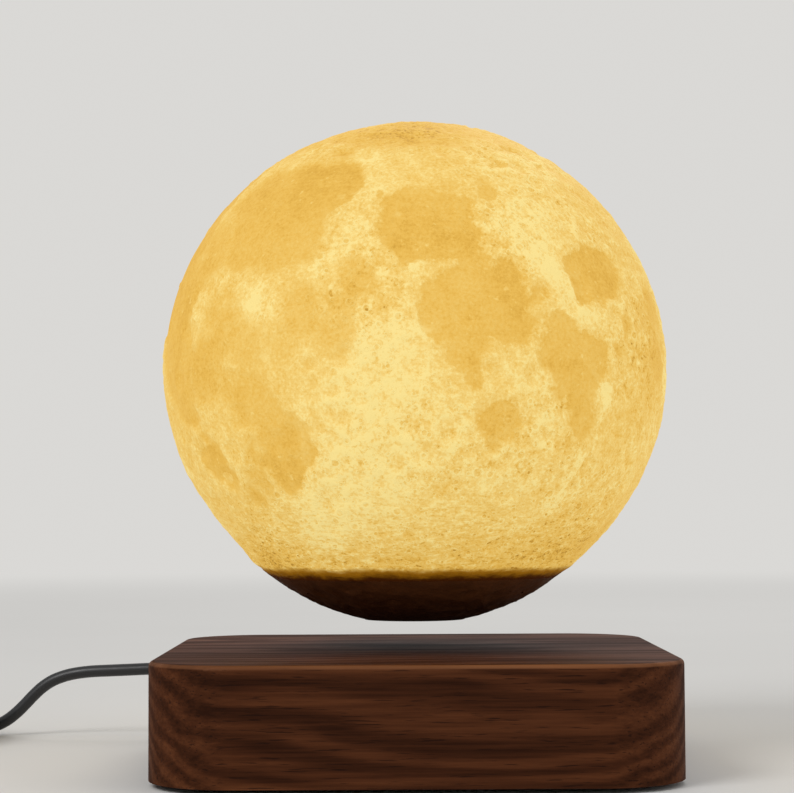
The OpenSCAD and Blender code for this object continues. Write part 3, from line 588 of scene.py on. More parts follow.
def make_globe():
    """The printed globe: an even sphere, cut at the seam, with a wall and the moon's relief."""
    deselect()
    bpy.ops.mesh.primitive_cube_add(size=2)
    globe = start_piece("globe")
    edit()
    select_all()
    bpy.ops.mesh.subdivide(number_cuts=GRID_CUTS)
    bpy.ops.mesh.subdivide(number_cuts=GRID_CUTS)
    finish_edit()
    even = np.tan(coordinates(globe.data) * pi / 4)
    ball = even / np.linalg.norm(even, axis=1)[:, None] * MOON_R + np.array(MOON_AT)
    globe.data.vertices.foreach_set("co", ball.ravel())
    globe.data.update()
    edit()
    select_all()
    seam = MOON_AT + Vector((0, 0, SEAM_Z))
    bpy.ops.mesh.bisect(plane_co=seam, plane_no=(0, 0, 1), clear_inner=True)
    select_all("DESELECT")
    bpy.ops.mesh.select_non_manifold(extend=False)
    inner_r = MOON_R - GLOBE_WALL
    low = np.arcsin(SEAM_Z / inner_r)
    radius, z = SEAM_R, SEAM_Z
    for k in range(DOME_RINGS):
        angle = low + (pi / 2 - low) * k / DOME_RINGS
        ring_r, ring_z = inner_r * cos(angle), inner_r * sin(angle)
        shrink = ring_r / radius
        bpy.ops.mesh.extrude_region_move()
        bpy.ops.transform.resize(value=(shrink, shrink, 1), center_override=seam)
        bpy.ops.transform.translate(value=(0, 0, ring_z - z))
        radius, z = ring_r, ring_z
    bpy.ops.mesh.extrude_region_move()
    bpy.ops.transform.translate(value=(0, 0, inner_r - z))
    bpy.ops.mesh.merge(type="CENTER")
    select_all()
    bpy.ops.mesh.normals_make_consistent(inside=False)
    finish_edit()
    away = coordinates(globe.data) - np.array(MOON_AT)
    outside = np.linalg.norm(away, axis=1) > MOON_R - GLOBE_WALL / 2
    raise_relief(globe.data, outside, True)
    finish_piece(globe, "moon", "globe_shell", "moon_print", 60)


# How near a point lies to the ball's surface to count as on it
ON_SURFACE = 0.1 * MM
# The cap in millimetres: radii, and heights from the moon's middle
FIT = 0.3
CAP_STEPS = 240
CAP_WALL = 2
LIP_OUT, LIP_IN, LIP_UP = 39.8, 38.3, 2.5
LEDGE_R = 36.5
CUP_OUT, CUP_IN, CUP_GRIP = 26.1, 24.3, 2.75
SEAT_OUT, SEAT_IN = 22, 18
CHAMFER = 0.3
BOSS_R, BOSS_AT, BOSS_FROM, BOSS_SIDES = 2.8, 35, -65.4, 32
BOSS_HOLE_R, BOSS_HOLE_DEEP, BOSS_PAST = 1.05, 4, 2
BOSS_INSET = 1.7
BALL_SEGMENTS, BALL_RINGS = 96, 64
BOSS_ANGLES = (90, 210, 330)


def slope(z, shell):
    """The angle from level, in degrees, at which a ball's shell has this height."""
    return np.degrees(np.arcsin(z / shell))


def make_boss(radius, low, high, at):
    """An upright rod of the cap, between two heights."""
    middle = Vector((0, 0, (low + high) / 2 * MM))
    return rod("boss", BOSS_SIDES, radius * MM, (high - low) * MM, at + middle)


def make_cap():
    """The moon's unlit lower cap, with its lip, the magnet's cup and seat, and screw bosses."""
    ball, inner = MOON_R / MM, (MOON_R - GLOBE_WALL) / MM
    low, seam = CAP_FLAT_Z / MM, SEAM_Z / MM
    magnet = (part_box("float_magnet")[0].z - MOON_AT.z) / MM
    tray, lip, grip = seam - FIT, seam + LIP_UP, magnet + CUP_GRIP

    def inside(from_r, to_r, count):
        ends = (slope(-sqrt(inner ** 2 - r ** 2), inner) for r in (from_r, to_r))
        return arc_points(inner, *ends, count)

    floor_r = sqrt(inner ** 2 - (low + CAP_WALL) ** 2)
    section = [(0, low)] + arc_points(ball, slope(low, ball), slope(seam, ball), 40) + [
        (LIP_OUT, seam), (LIP_OUT, lip - CHAMFER), (LIP_OUT - CHAMFER, lip),
        (LIP_IN, lip), (LIP_IN, tray), (LEDGE_R, tray),
    ] + inside(LEDGE_R, CUP_OUT, 8) + [
        (CUP_OUT, grip), (CUP_IN + CHAMFER, grip), (CUP_IN, grip - CHAMFER),
    ] + inside(CUP_IN, SEAT_OUT, 2) + [
        (SEAT_OUT, magnet - FIT), (SEAT_IN, magnet - FIT),
    ] + inside(SEAT_IN, floor_r, 3) + [(0, low + CAP_WALL), (0, low)]
    cap = lathe("cap", section, CAP_STEPS, Matrix.Translation(MOON_AT))
    away = coordinates(cap.data) - np.array(MOON_AT)
    far = np.linalg.norm(away, axis=1) > MOON_R - ON_SURFACE
    raise_relief(cap.data, far & (away[:, 2] > CAP_FLAT_Z + ON_SURFACE), False)
    for angle in BOSS_ANGLES:
        at = MOON_AT + Vector((cos(radians(angle)), sin(radians(angle)), 0)) * BOSS_AT * MM
        boss = make_boss(BOSS_R, BOSS_FROM, tray, at)
        deselect()
        bpy.ops.mesh.primitive_uv_sphere_add(
            segments=BALL_SEGMENTS, ring_count=BALL_RINGS, location=MOON_AT,
            radius=MOON_R - BOSS_INSET * MM)
        unite(boss, start_piece("ball"), "INTERSECT")
        unite(cap, boss)
        hole = make_boss(BOSS_HOLE_R, tray - BOSS_HOLE_DEEP, tray + BOSS_PAST, at)
        unite(cap, hole, "DIFFERENCE")
    finish_piece(cap, "moon", "bottom_cap", "cap_print", 50)


# -------------------------------------------------------- plug and strap
PLUG_X, PLUG_BACK_X = -42, -54
PLUG_AXIS = Vector((PLUG_X, 79.5, 22.5)) * MM
PLUG_R, PLUG_ROUND = 5, 1.2
COLLAR_R, COLLAR_ROUND = 4.4, 0.5
BARREL_ROOM = 0.02
# Each finger groove: how deep a point lies, and how far up from the groove's middle
GRIP_GROOVE = [(0, 0.55), (0.35, 0.3), (0.35, -0.3), (0, -0.55)]
GRIP_RIBS, GRIP_FROM, GRIP_STEP = 4, 2.6, 1.9
# Each groove of a sleeve: how deep a point lies, and how far on in parts of the pitch
SLEEVE_GROOVE = [(0, -0.30), (0.12, -0.22), (0.45, -0.14), (0.45, 0.14), (0.14, 0.22),
                 (0.02, 0.30)]
LEAD_ROOM = 0.01
SLEEVE_STEPS, GRIP_STEPS, BARREL_SIDES = 56, 64, 48


def make_sleeve(name, node, from_r, to_r, long, ribs, turn):
    """A tapered sleeve with round ribs, open for the lead at its far end."""
    bore = LEAD_D / 2 + LEAD_ROOM
    section = [(bore, 0), (from_r, 0)]
    pitch = long / (ribs + 0.5)
    for i in range(ribs):
        z = pitch * (i + 0.55)
        radius = from_r + (to_r - from_r) * z / long
        section += [(radius - deep, z + pitch * on) for deep, on in SLEEVE_GROOVE]
    section += [(to_r, long - 0.2), (to_r - 0.15, long), (bore, long), (bore, 0)]
    finish_piece(lathe(name, section, SLEEVE_STEPS, turn), "base", node, "lead_pvc")


def make_plug():
    """The moulded right-angled plug, with finger ribs, and its ribbed sleeve."""
    long, top_r = PLUG_X - PLUG_BACK_X, PLUG_R - PLUG_ROUND
    section = [(0, long), (top_r, long)]
    section += arc_points(PLUG_ROUND, 90, 0, 5, (top_r, long - PLUG_ROUND))
    for i in range(GRIP_RIBS):
        z = long - GRIP_FROM - i * GRIP_STEP
        section += [(PLUG_R - deep, z + up) for deep, up in GRIP_GROOVE]
    section += arc_points(PLUG_R, 0, -90, 14)
    section[-1] = (0, -PLUG_R)
    body = lathe("plug_grip", section, GRIP_STEPS, turned_to((-1, 0, 0), PLUG_AXIS))
    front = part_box("plug_body")[0].y
    reach = PLUG_AXIS.y / MM - front / MM
    neck = [(0, 0), (COLLAR_R, 0)]
    neck += arc_points(COLLAR_ROUND, 0, 90, 4, (COLLAR_R - COLLAR_ROUND, reach - COLLAR_ROUND))
    neck += [(0, reach)]
    unite(body, lathe("collar", neck, SLEEVE_STEPS, turned_to((0, -1, 0), PLUG_AXIS)))
    low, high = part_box("plug_barrel")
    hole_r = (high.x - low.x) / 2 + BARREL_ROOM * MM
    hole = rod("barrel_hole", BARREL_SIDES, hole_r, 2 * (high.y - front),
               (PLUG_AXIS.x, front, PLUG_AXIS.z), ALONG_Y)
    unite(body, hole, "DIFFERENCE")
    finish_piece(body, "base", "plug_body", "lead_pvc")
    back = Vector((PLUG_BACK_X * MM, PLUG_AXIS.y, PLUG_AXIS.z))
    make_sleeve("plug_sleeve", "plug_relief", 4.1, 2.5, 22, 6, turned_to((-1, 0, 0), back))


STRAP_W = 8
STRAP_T = 0.8
STRAP_ANGLE = -45
STRAP_CORNER = 2.1
STRAP_OVERLAP = 12
STRAP_STEPS = 8
STRAP_LAP = 0.05
STRAP_ROOM = 0.83


def make_strap():
    """A hook-and-loop strap round the coil's turns, whose end lies over its start."""
    low, high = (corner.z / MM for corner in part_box("coil_tie"))
    low, high = low + STRAP_T, high - STRAP_T
    near, far = COIL_IN_R - LEAD_D / 2 - STRAP_ROOM, COIL_OUT_R + LEAD_D / 2 + FIT
    c = STRAP_CORNER
    start = (near + far) / 2
    up = STRAP_T + STRAP_LAP
    path = [(start, high), (near + c, high)]
    for angle, corner in ((90, (near + c, high - c)), (180, (near + c, low + c)),
                          (270, (far - c, low + c)), (0, (far - c, high - c))):
        path += arc_points(c, angle, angle + 90, 5, corner)
    path += [(start + 3, high), (start + 1.2, high + up * 0.2), (start - 0.4, high + up * 0.95),
             (start - 1.2, high + up), (start - STRAP_OVERLAP / 2, high + up)]
    strap = trace("strap", [(r, -STRAP_W / 2, z) for r, z in path])
    step = (0, STRAP_W / STRAP_STEPS * MM, 0)
    for _ in range(STRAP_STEPS):
        bpy.ops.mesh.extrude_region_move(TRANSFORM_OT_translate={"value": step})
    weld()
    outer = [f for f in strap.data.polygons if f.center.x > far * 0.97 * MM]
    outward = sum(f.normal.x * f.area for f in outer) > 0
    apply_modifier(strap, "SOLIDIFY", thickness=STRAP_T * MM, offset=1 if outward else -1)
    round_edges(strap, 0.2, 2, 50)
    strap.rotation_euler = (0, 0, radians(STRAP_ANGLE))
    strap.location = (COIL_AT.x * MM, COIL_AT.y * MM, 0)
    finish_piece(strap, "base", "coil_tie", "tie_strap", 45)


# ---------------------------------------------------------- wall adapter
ADAPTER_CORNER = 5 * MM
ADAPTER_WALL = 2 * MM
ADAPTER_FIT = FIT * MM
FACE_LIP, LIP_DEEP = 2 * MM, 3 * MM
PAST = 1 * MM
SPLIT_BEVEL, FRONT_BEVEL, BACK_BEVEL = 0.3 * MM, 1.2 * MM, 1.6 * MM
GROOVES, GROOVE_FROM, GROOVE_STEP = 5, 9, 3.2
GROOVE_R, GROOVE_LONG, GROOVE_OUT = 0.9 * MM, 14 * MM, 0.35 * MM
PIN_ROOT_R = 2.5 * MM
PIN_ROOM = 0.01 * MM
PIN_HOLE_LONG = 30 * MM


def bevel_where(piece, rule, width, segments):
    """Rounds the edges of a piece whose two ends' places along Y fit a rule."""
    edit("EDGE")
    select_all("DESELECT")
    finish_edit()
    vertices = piece.data.vertices
    for line in piece.data.edges:
        line.select = rule(*(vertices[i].co.y for i in line.vertices))
    edit("EDGE")
    bpy.ops.mesh.bevel(offset=width, segments=segments)
    finish_edit()


def bevel_end(bar, y, width, segments=2):
    """Rounds the edges of one end of a bar."""
    bevel_where(bar, lambda a, b: max(abs(a - y), abs(b - y)) < 0.01 * MM, width, segments)


def make_bar(name, box, corner):
    """A solid bar along Y with round corners in its section."""
    low, high = box
    size = high - low
    deselect()
    bpy.ops.mesh.primitive_cube_add(size=1, location=(high + low) / 2, scale=size)
    bar = start_piece(name)
    settle(bar)
    bevel_where(bar, lambda a, b: abs(a - b) > size.y / 2, corner, 8)
    return bar


def grown(box, around, front, back):
    """A box made larger around its section, at its front and at its back."""
    low, high = box
    return low + Vector((-around, -front, -around)), high + Vector((around, back, around))


def make_adapter():
    """The wall adapter's case and face, with round edges, a parting line and finger grooves."""
    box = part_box("adapter_case")
    low, high = box
    wall, fit, split = ADAPTER_WALL, ADAPTER_FIT, low.y
    case = make_bar("adapter_body", box, ADAPTER_CORNER)
    bevel_end(case, high.y, BACK_BEVEL, 5)
    bevel_end(case, split, SPLIT_BEVEL)
    hollow = make_bar("hollow", grown(box, -wall, PAST, -wall), ADAPTER_CORNER - wall)
    unite(case, hollow, "DIFFERENCE")
    for x in (low.x - GROOVE_OUT, high.x + GROOVE_OUT):
        for i in range(GROOVES):
            at = (x, high.y - (GROOVE_FROM + GROOVE_STEP * i) * MM, (low.z + high.z) / 2)
            groove = rod("groove", 24, GROOVE_R, GROOVE_LONG, at)
            round_edges(groove, 0.6, 3, 60)
            unite(case, groove, "DIFFERENCE")
    finish_piece(case, "base", "adapter_case", "adapter_plastic")

    low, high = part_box("adapter_face")
    box = low, Vector((high.x, split, high.z))
    face = make_bar("adapter_front", box, ADAPTER_CORNER)
    bevel_end(face, low.y, FRONT_BEVEL, 4)
    bevel_end(face, split, SPLIT_BEVEL)
    inset = wall + fit
    lip = make_bar("lip", grown(box, -inset, -LIP_DEEP, FACE_LIP), ADAPTER_CORNER - inset)
    unite(face, lip)
    inset = 2 * wall
    inside = make_bar("inside", grown(box, -inset, -inset, FACE_LIP + PAST), ADAPTER_CORNER - inset)
    unite(face, inside, "DIFFERENCE")
    first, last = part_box("adapter_pins")
    for x in (first.x + PIN_ROOT_R, last.x - PIN_ROOT_R):
        at = (x, low.y, (first.z + last.z) / 2)
        hole = rod("pin_hole", 40, PIN_ROOT_R + PIN_ROOM, PIN_HOLE_LONG, at, ALONG_Y)
        unite(face, hole, "DIFFERENCE")
    finish_piece(face, "base", "adapter_face", "adapter_plastic")
    low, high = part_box("adapter_relief")
    at = Vector(((low.x + high.x) / 2, low.y, (low.z + high.z) / 2))
    make_sleeve("adapter_sleeve", "adapter_relief", 4, 2.5, (high.y - low.y) / MM, 4,
                turned_to((0, 1, 0), at))


# ------------------------------------------------------------ node helpers
class Value:
    """What comes out of a shader node. A sum or product of it adds the node that it needs."""

    def __init__(self, socket):
        self.socket = socket

    def __add__(self, other):
        return calc("ADD", self, other)

    def __sub__(self, other):
        return calc("SUBTRACT", self, other)

    def __rsub__(self, other):
        return calc("SUBTRACT", other, self)

    def __mul__(self, other):
        return calc("MULTIPLY", self, other)

    def __truediv__(self, other):
        return calc("DIVIDE", self, other)

    __radd__ = __add__
    __rmul__ = __mul__


def plug(value, socket):
    """Feeds a socket with a node's output, or sets it to a constant. Colours are three numbers."""
    if isinstance(value, Value):
        socket.id_data.links.new(value.socket, socket)
    else:
        socket.default_value = (*value, 1) if socket.type == "RGBA" else value


def add(kind, inputs=(), out=0, tree=None, **settings):
    """Adds a shader node with its settings and inputs, and gives one of its outputs."""
    inputs = dict(inputs)
    tree = tree or next(v.socket.id_data for v in inputs.values() if isinstance(v, Value))
    made = tree.nodes.new("ShaderNode" + kind)
    for name, value in settings.items():
        setattr(made, name, value)
    for name, value in inputs.items():
        plug(value, made.inputs[name])
    return Value(made.outputs[out])


def calc(operation, a, b=0.0, clamp=False):
    return add("Math", {0: a, 1: b}, operation=operation, use_clamp=clamp)


def between(share, a, b):
    """A number that goes from a to b as the share goes from 0 to 1."""
    return add("Mix", {0: share, 2: a, 3: b})


def blend(share, a, b):
    """A colour that goes from a to b as the share goes from 0 to 1."""
    return add("Mix", {0: share, 6: a, 7: b}, 2, data_type="RGBA")


def remap(value, low, high, to_low=0.0, to_high=1.0):
    """Carries a value softly from one range to another, and holds it inside the second."""
    return add("MapRange", {
        "Value": value, "From Min": low, "From Max": high, "To Min": to_low, "To Max": to_high,
    }, interpolation_type="SMOOTHSTEP")


def ramp(value, *stops):
    """Colours along a value. Each stop is its place and the three numbers of its colour."""
    made = add("ValToRGB", {0: value})
    bands = made.socket.node.color_ramp.elements
    while len(bands) < len(stops):
        bands.new(0.5)
    for band, (at, *color) in zip(bands, stops):
        band.position = at
        band.color = (*color, 1)
    return made


def parts(vector):
    """The three coordinates of a vector."""
    return [Value(part) for part in add("SeparateXYZ", {0: vector}).socket.node.outputs]


def facing_up(tree):
    """How far the surface faces up, from -1 to 1."""
    return parts(add("NewGeometry", out="Normal", tree=tree))[2]


def noise_at(where, scale, detail=3.0, roughness=0.5, distortion=0.0):
    return add("TexNoise", {
        "Vector": where, "Scale": scale, "Detail": detail, "Roughness": roughness,
        "Distortion": distortion,
    })


def stretched(where, scale=(1, 1, 1), turn=(0, 0, 0), move=(0, 0, 0)):
    return add("Mapping", {"Vector": where, "Scale": scale, "Rotation": turn, "Location": move})


def drawn_out(where, scale, detail=3.0, roughness=0.5):
    """Noise with a scale of its own along each axis."""
    return noise_at(stretched(where, scale), 1.0, detail, roughness)


def cells_at(where, scale, **settings):
    """How far a place is from the middle of its cell, and the cell's random colour."""
    away = add("TexVoronoi", {"Vector": where, "Scale": scale}, **settings)
    return away, Value(away.socket.node.outputs["Color"])


def spread(value, amount):
    """A noise that lies around a half, made to lie around nothing and scaled."""
    return (value - 0.5) * amount


def bump(height, strength, distance):
    return add("Bump", {"Strength": strength, "Distance": distance, "Height": height})


def mask_of(group, **inputs):
    return add("Group", inputs, node_tree=group)


def new_group(name, **inputs):
    """A node group, and the values of its inputs. An input without a number is a vector."""
    group = bpy.data.node_groups.new(name, "ShaderNodeTree")
    for socket, value in inputs.items():
        kind = "NodeSocketVector" if value is None else "NodeSocketFloat"
        made = group.interface.new_socket(socket, in_out="INPUT", socket_type=kind)
        if value is not None:
            made.default_value = value
    group.interface.new_socket("Mask", in_out="OUTPUT", socket_type="NodeSocketFloat")
    given = group.nodes.new("NodeGroupInput").outputs
    return group, [Value(given[socket]) for socket in inputs]


def close_group(group, mask):
    plug(mask, group.nodes.new("NodeGroupOutput").inputs["Mask"])
    return group


def make_mottle_group():
    """Soft patches with finer ones in them, from 0 to 1."""
    group, (where, scale, contrast) = new_group("mottle", Vector=None, Scale=100, Contrast=1)
    both = noise_at(where, scale, 3) * 0.7 + noise_at(where, scale * 7.3, 2) * 0.3
    return close_group(group, calc("ADD", (both - 0.5) * contrast, 0.5, clamp=True))


def make_weave_group():
    """Plain weave: how high the threads stand that run along two given coordinates."""
    group, (along, across, pitch) = new_group("weave", Along=0, Across=0, Pitch=1)
    waves = [calc("SINE", run / pitch * pi) for run in (along, across)]
    over = calc("GREATER_THAN", waves[0] * waves[1], 0.0)
    one, other = (calc("SQRT", calc("ABSOLUTE", wave)) for wave in waves)
    return close_group(group, between(over, one, other))


def make_turns_group():
    """The wires of a winding: lines round the upright axis on top, and by height on its sides."""
    group, (where, pitch) = new_group("turns", Vector=None, Pitch=0.5 * MM)
    x, y, height = parts(where)
    radius = calc("SQRT", x * x + y * y)
    top = remap(calc("ABSOLUTE", facing_up(group)), 0.5, 0.8)
    turns = between(top, height, radius) / pitch
    return close_group(group, calc("ABSOLUTE", calc("SINE", turns * pi)))


def make_pits_group():
    """Small craters of many sizes: darker inside, with a bright rim, and nothing around them."""
    group, (where, scale) = new_group("pits", Vector=None, Scale=240)
    pits = []
    for finer, size in ((1.0, 0.34), (2.3, 0.40)):
        away, color = cells_at(where, scale * finer)
        across = away / (add("SeparateColor", {0: color}) * size + 0.04)
        rim = remap(across, 0.62, 0.88) * remap(across, 1.25, 0.9)
        pits.append(remap(across, 0.55, 0.85, -1.0, 0.0) + rim)
    return close_group(group, pits[0] + pits[1])


MOTTLE = make_mottle_group()
PITS = make_pits_group()
WEAVE = make_weave_group()
TURNS = make_turns_group()


# --------------------------------------------------------------- materials
class Finish:
    """A material in the making: its tree, and the object's own coordinates for its patterns."""

    def __init__(self, name, roughness=0.5, metallic=0.0, specular=0.5, **constants):
        self.material = bpy.data.materials.new(name)
        self.material.use_nodes = True
        self.tree = self.material.node_tree
        self.where = add("TexCoord", out="Object", tree=self.tree)
        self.take(Roughness=roughness, Metallic=metallic, Specular_IOR_Level=specular, **constants)

    def own(self, name):
        """A map that is stored on the piece's own vertices."""
        return add("Attribute", out="Fac", tree=self.tree, attribute_name=name)

    def take(self, **inputs):
        """Feeds the shader's inputs, or sets what is the same all over, and gives the material."""
        shader = self.tree.nodes["Principled BSDF"]
        for name, value in inputs.items():
            plug(value, shader.inputs[name.replace("_", " ")])
        return self.material


PRINT_STOPS = [
    (0.0, 0.50, 0.26, 0.038), (0.2, 0.76, 0.430, 0.064), (0.34, 0.855, 0.515, 0.096),
    (0.55, 0.905, 0.595, 0.148), (0.75, 0.958, 0.682, 0.210), (0.95, 1.0, 0.79, 0.295),
]
# How strongly the print gives its colour as light, and how much of it is its own
LIT_SHARE, OWN_SHARE = 0.76, 0.22
# The painted shadow of the cap's lip, a dim stretch over the seam: its colours, and its lower and
# upper ends
BAND_LOW = (0.042, 0.009, 0.0006)
BAND_HIGH = (0.30, 0.122, 0.004)
BAND_FROM_Z = MOON_AT.z + SEAM_Z + 0.3 * MM
BAND_TO_Z = MOON_AT.z + SEAM_Z + 2.7 * MM
# The print's layers: noise that is fine only along the upright axis
LAYERS = (22, 22, 1300)
BLACK = (0, 0, 0)


def make_moon_print():
    """Printed plastic, lit from inside: bright highlands, darker seas, dim next to the seam."""
    skin = Finish("moon_print", 0.62, specular=0.1)
    where, up = skin.where, parts(skin.where)[2]
    low = remap(up, MOON_AT.z - 26 * MM, MOON_AT.z - 50 * MM)
    flat = stretched(where, (0.8, 0.8, 2.8))
    lumps = between(low, noise_at(where, 300, 5, 0.66, 0.3), noise_at(flat, 330, 5, 0.66, 0.6))
    grains = noise_at(where, 1150, 3, 0.65)
    patches = noise_at(where, 95, 4, 0.6)
    layers = drawn_out(where, LAYERS, 2, 0.6)
    rough = calc("ADD", skin.own("rough"), low * 0.3, clamp=True)
    hollows = rough * between(low, remap(noise_at(where, 640, 3, 0.6, 0.5), 0.58, 0.66),
                              remap(noise_at(flat, 700, 3, 0.6, 0.4), 0.57, 0.66))
    pits = mask_of(PITS, Vector=where, Scale=240) * rough
    # Painted shade: the print's glow grows darker towards the bottom of the globe
    fall = remap(up, MOON_AT.z - 44 * MM, MOON_AT.z - 60 * MM, 0, -0.16)
    land = (skin.own("tone") + spread(lumps, 1.0) * (rough + 0.36) + spread(grains, 1.10)
            + spread(patches, 0.28) + hollows * -0.29 + pits * 0.19 + fall)
    shore = skin.own("shore") + spread(lumps, 6.0) + spread(patches, 4.5) + pits * 0.5
    water = remap(shore / (skin.own("softness") * 2.4 + 0.5), -1.0, 1.0)
    depth = calc("MULTIPLY", water, skin.own("sea"), clamp=True)
    dots = remap(noise_at(where, 430, 2), 0.66, 0.74)
    sea = 0.27 + spread(patches, 0.40) + spread(grains, 0.42) + spread(lumps, 0.22) + dots * 0.3
    rays = skin.own("rays") * remap(lumps, 0.3, 0.6, 0.55, 1.15)
    tone = calc("ADD", between(depth, land, sea) + rays, spread(layers, 0.10), clamp=True)
    # Painted shadow of the cap's lip: the glow dims over the seam, with a ragged edge above it
    ragged = up + spread(patches, 2.2 * MM) + spread(lumps, 0.8 * MM)
    dim = remap(ragged + spread(lumps, 1.6 * MM), BAND_FROM_Z, BAND_TO_Z)
    lit = remap(ragged, BAND_TO_Z - 0.5 * MM, BAND_TO_Z + 1.3 * MM)
    glow = blend(lit, blend(dim, BAND_LOW, BAND_HIGH), ramp(tone, *PRINT_STOPS))
    relief = (lumps * (1.0 - depth * 0.8) + grains * 0.3 + layers * 0.2 + hollows * -0.5
              + pits * 0.5)
    return skin.take(
        Emission_Color=glow, Emission_Strength=LIT_SHARE,
        Base_Color=blend(1 - OWN_SHARE, glow, BLACK),
        Roughness=remap(grains, 0.3, 0.7, 0.62, 0.80),
        Normal=bump(relief, 0.6, 0.6 * MM),
    )


def make_cap_print():
    """The same print where no light comes through: painted shade in dark brown, lighter next to the
    seam and darker towards the bottom, with layer lines and lumps.
    """
    skin = Finish("cap_print", 0.6, specular=0.25)
    lumps = noise_at(skin.where, 230, 5, 0.6, 0.3)
    grains = noise_at(skin.where, 760, 3, 0.6)
    layers = drawn_out(skin.where, LAYERS, 2, 0.6)
    # Painted shade and light: the cap is lighter next to the seam and darker towards the bottom
    fall = remap(parts(skin.where)[2], GLOBE_LOW.z - 13 * MM, GLOBE_LOW.z - 1 * MM)
    tone = 0.15 + fall * 0.5 + spread(lumps, 0.9) + spread(grains, 0.4) + spread(layers, 0.4)
    return skin.take(
        Base_Color=ramp(tone, (0.0, 0.035, 0.012, 0.004), (0.5, 0.088, 0.029, 0.008),
                        (1.0, 0.15, 0.049, 0.013)),
        Roughness=remap(grains, 0.3, 0.7, 0.5, 0.68),
        Normal=bump(lumps + grains * 0.35 + layers * 0.3, 0.5, 0.5 * MM),
    )


def make_walnut():
    """Oiled dark walnut: the grain runs across the front, with end grain at the two sides."""
    skin = Finish("walnut", 0.5, specular=0.03)
    where = skin.where
    _, y, z = parts(stretched(where, move=(0, -0.06, 0.11)))
    away = calc("SQRT", y * y + z * z) + spread(drawn_out(where, (5, 22, 22)), 0.034)
    rings = remap(calc("SINE", away * 1150.0), -1.0, 1.0)
    fibres = drawn_out(where, (28, 900, 900), 4, 0.65)
    bands = drawn_out(where, (7, 75, 75), 3, 0.55)
    pores = remap(drawn_out(where, (110, 1900, 1900), 2), 0.60, 0.70)
    tone = 0.42 + spread(rings, 0.30) + spread(fibres, 0.9) + spread(bands, 1.1)
    color = ramp(tone, (0.0, 0.024, 0.0075, 0.0032), (0.35, 0.056, 0.0175, 0.0068),
                 (0.65, 0.094, 0.0305, 0.0115), (1.0, 0.145, 0.050, 0.019))
    color = blend(pores * 0.7, color, (0.014, 0.005, 0.003))
    up = facing_up(skin.tree)
    # Painted highlight on the rounded top edges: a lighter tone there, and a lower roughness
    edge = remap(up, 0.12, 0.5) * remap(up, 0.98, 0.85) * remap(bands, 0.35, 0.6, 0.35, 0.8)
    return skin.take(
        Base_Color=blend(edge, color, (0.21, 0.085, 0.036)),
        Roughness=remap(tone, 0.1, 0.9, 0.62, 0.48) + edge * -0.2,
        Normal=bump(fibres * 0.5 + pores * -1.0, 0.35, 0.15 * MM),
    )


def make_tie_strap():
    """Woven hook-and-loop strap, with the weave in line with the strap."""
    skin = Finish("tie_strap", 0.85, specular=0.2, Sheen_Weight=0.3)
    turned = stretched(skin.where, turn=(0, 0, radians(-STRAP_ANGLE)))
    out, across, up = parts(turned)
    threads = mask_of(WEAVE, Along=out + up, Across=across, Pitch=0.9 * MM)
    fuzz = noise_at(turned, 2600, 3, 0.7)
    # Painted shade in the weave: the threads are darker where they lie low
    tone = 0.1 + threads * 0.6 + spread(fuzz, 0.8)
    return skin.take(
        Base_Color=ramp(tone, (0.0, 0.010, 0.010, 0.011), (1.0, 0.050, 0.050, 0.054)),
        Normal=bump(threads + fuzz * 0.8, 0.8, 0.2 * MM),
    )


def make_copper():
    """Enamelled copper wire, with painted shade in the lines between its turns."""
    skin = Finish("copper", 0.28, 1.0)
    wires = mask_of(TURNS, Vector=skin.where, Pitch=0.45 * MM)
    stains = noise_at(skin.where, 160, 4, 0.6)
    # Painted shade: the wire is darker in the grooves between its turns
    tone = remap(wires, 0.0, 0.5, 0.25, 1.0) * remap(stains, 0.3, 0.7, 0.75, 1.0)
    return skin.take(
        Base_Color=ramp(tone, (0.0, 0.12, 0.035, 0.012), (0.6, 0.55, 0.22, 0.08),
                        (1.0, 0.78, 0.38, 0.16)),
        Roughness=remap(stains, 0.3, 0.7, 0.22, 0.4),
        Normal=bump(wires, 0.8, 0.2 * MM),
    )


def make_board_green():
    """Solder mask over tracks, with tinned pads."""
    skin = Finish("board_green", 0.35)
    from_track, _ = cells_at(skin.where, 240, distance="MANHATTAN")
    from_pad, _ = cells_at(skin.where, 170)
    tracks = remap(calc("FRACT", from_track * 3.0), 0.42, 0.5)
    pads = remap(from_pad, 0.17, 0.14)
    mask_color = blend(tracks, (0.010, 0.085, 0.030), (0.020, 0.150, 0.055))
    return skin.take(
        Base_Color=blend(pads, mask_color, (0.60, 0.60, 0.58)),
        Metallic=pads * 0.9,
        Roughness=remap(tracks, 0.0, 1.0, 0.42, 0.32),
        Normal=bump(tracks + pads, 0.5, 0.1 * MM),
    )


PIN_SLEEVE_FROM_Y = -54 * MM
PIN_SLEEVE_TO_Y = -43.5 * MM


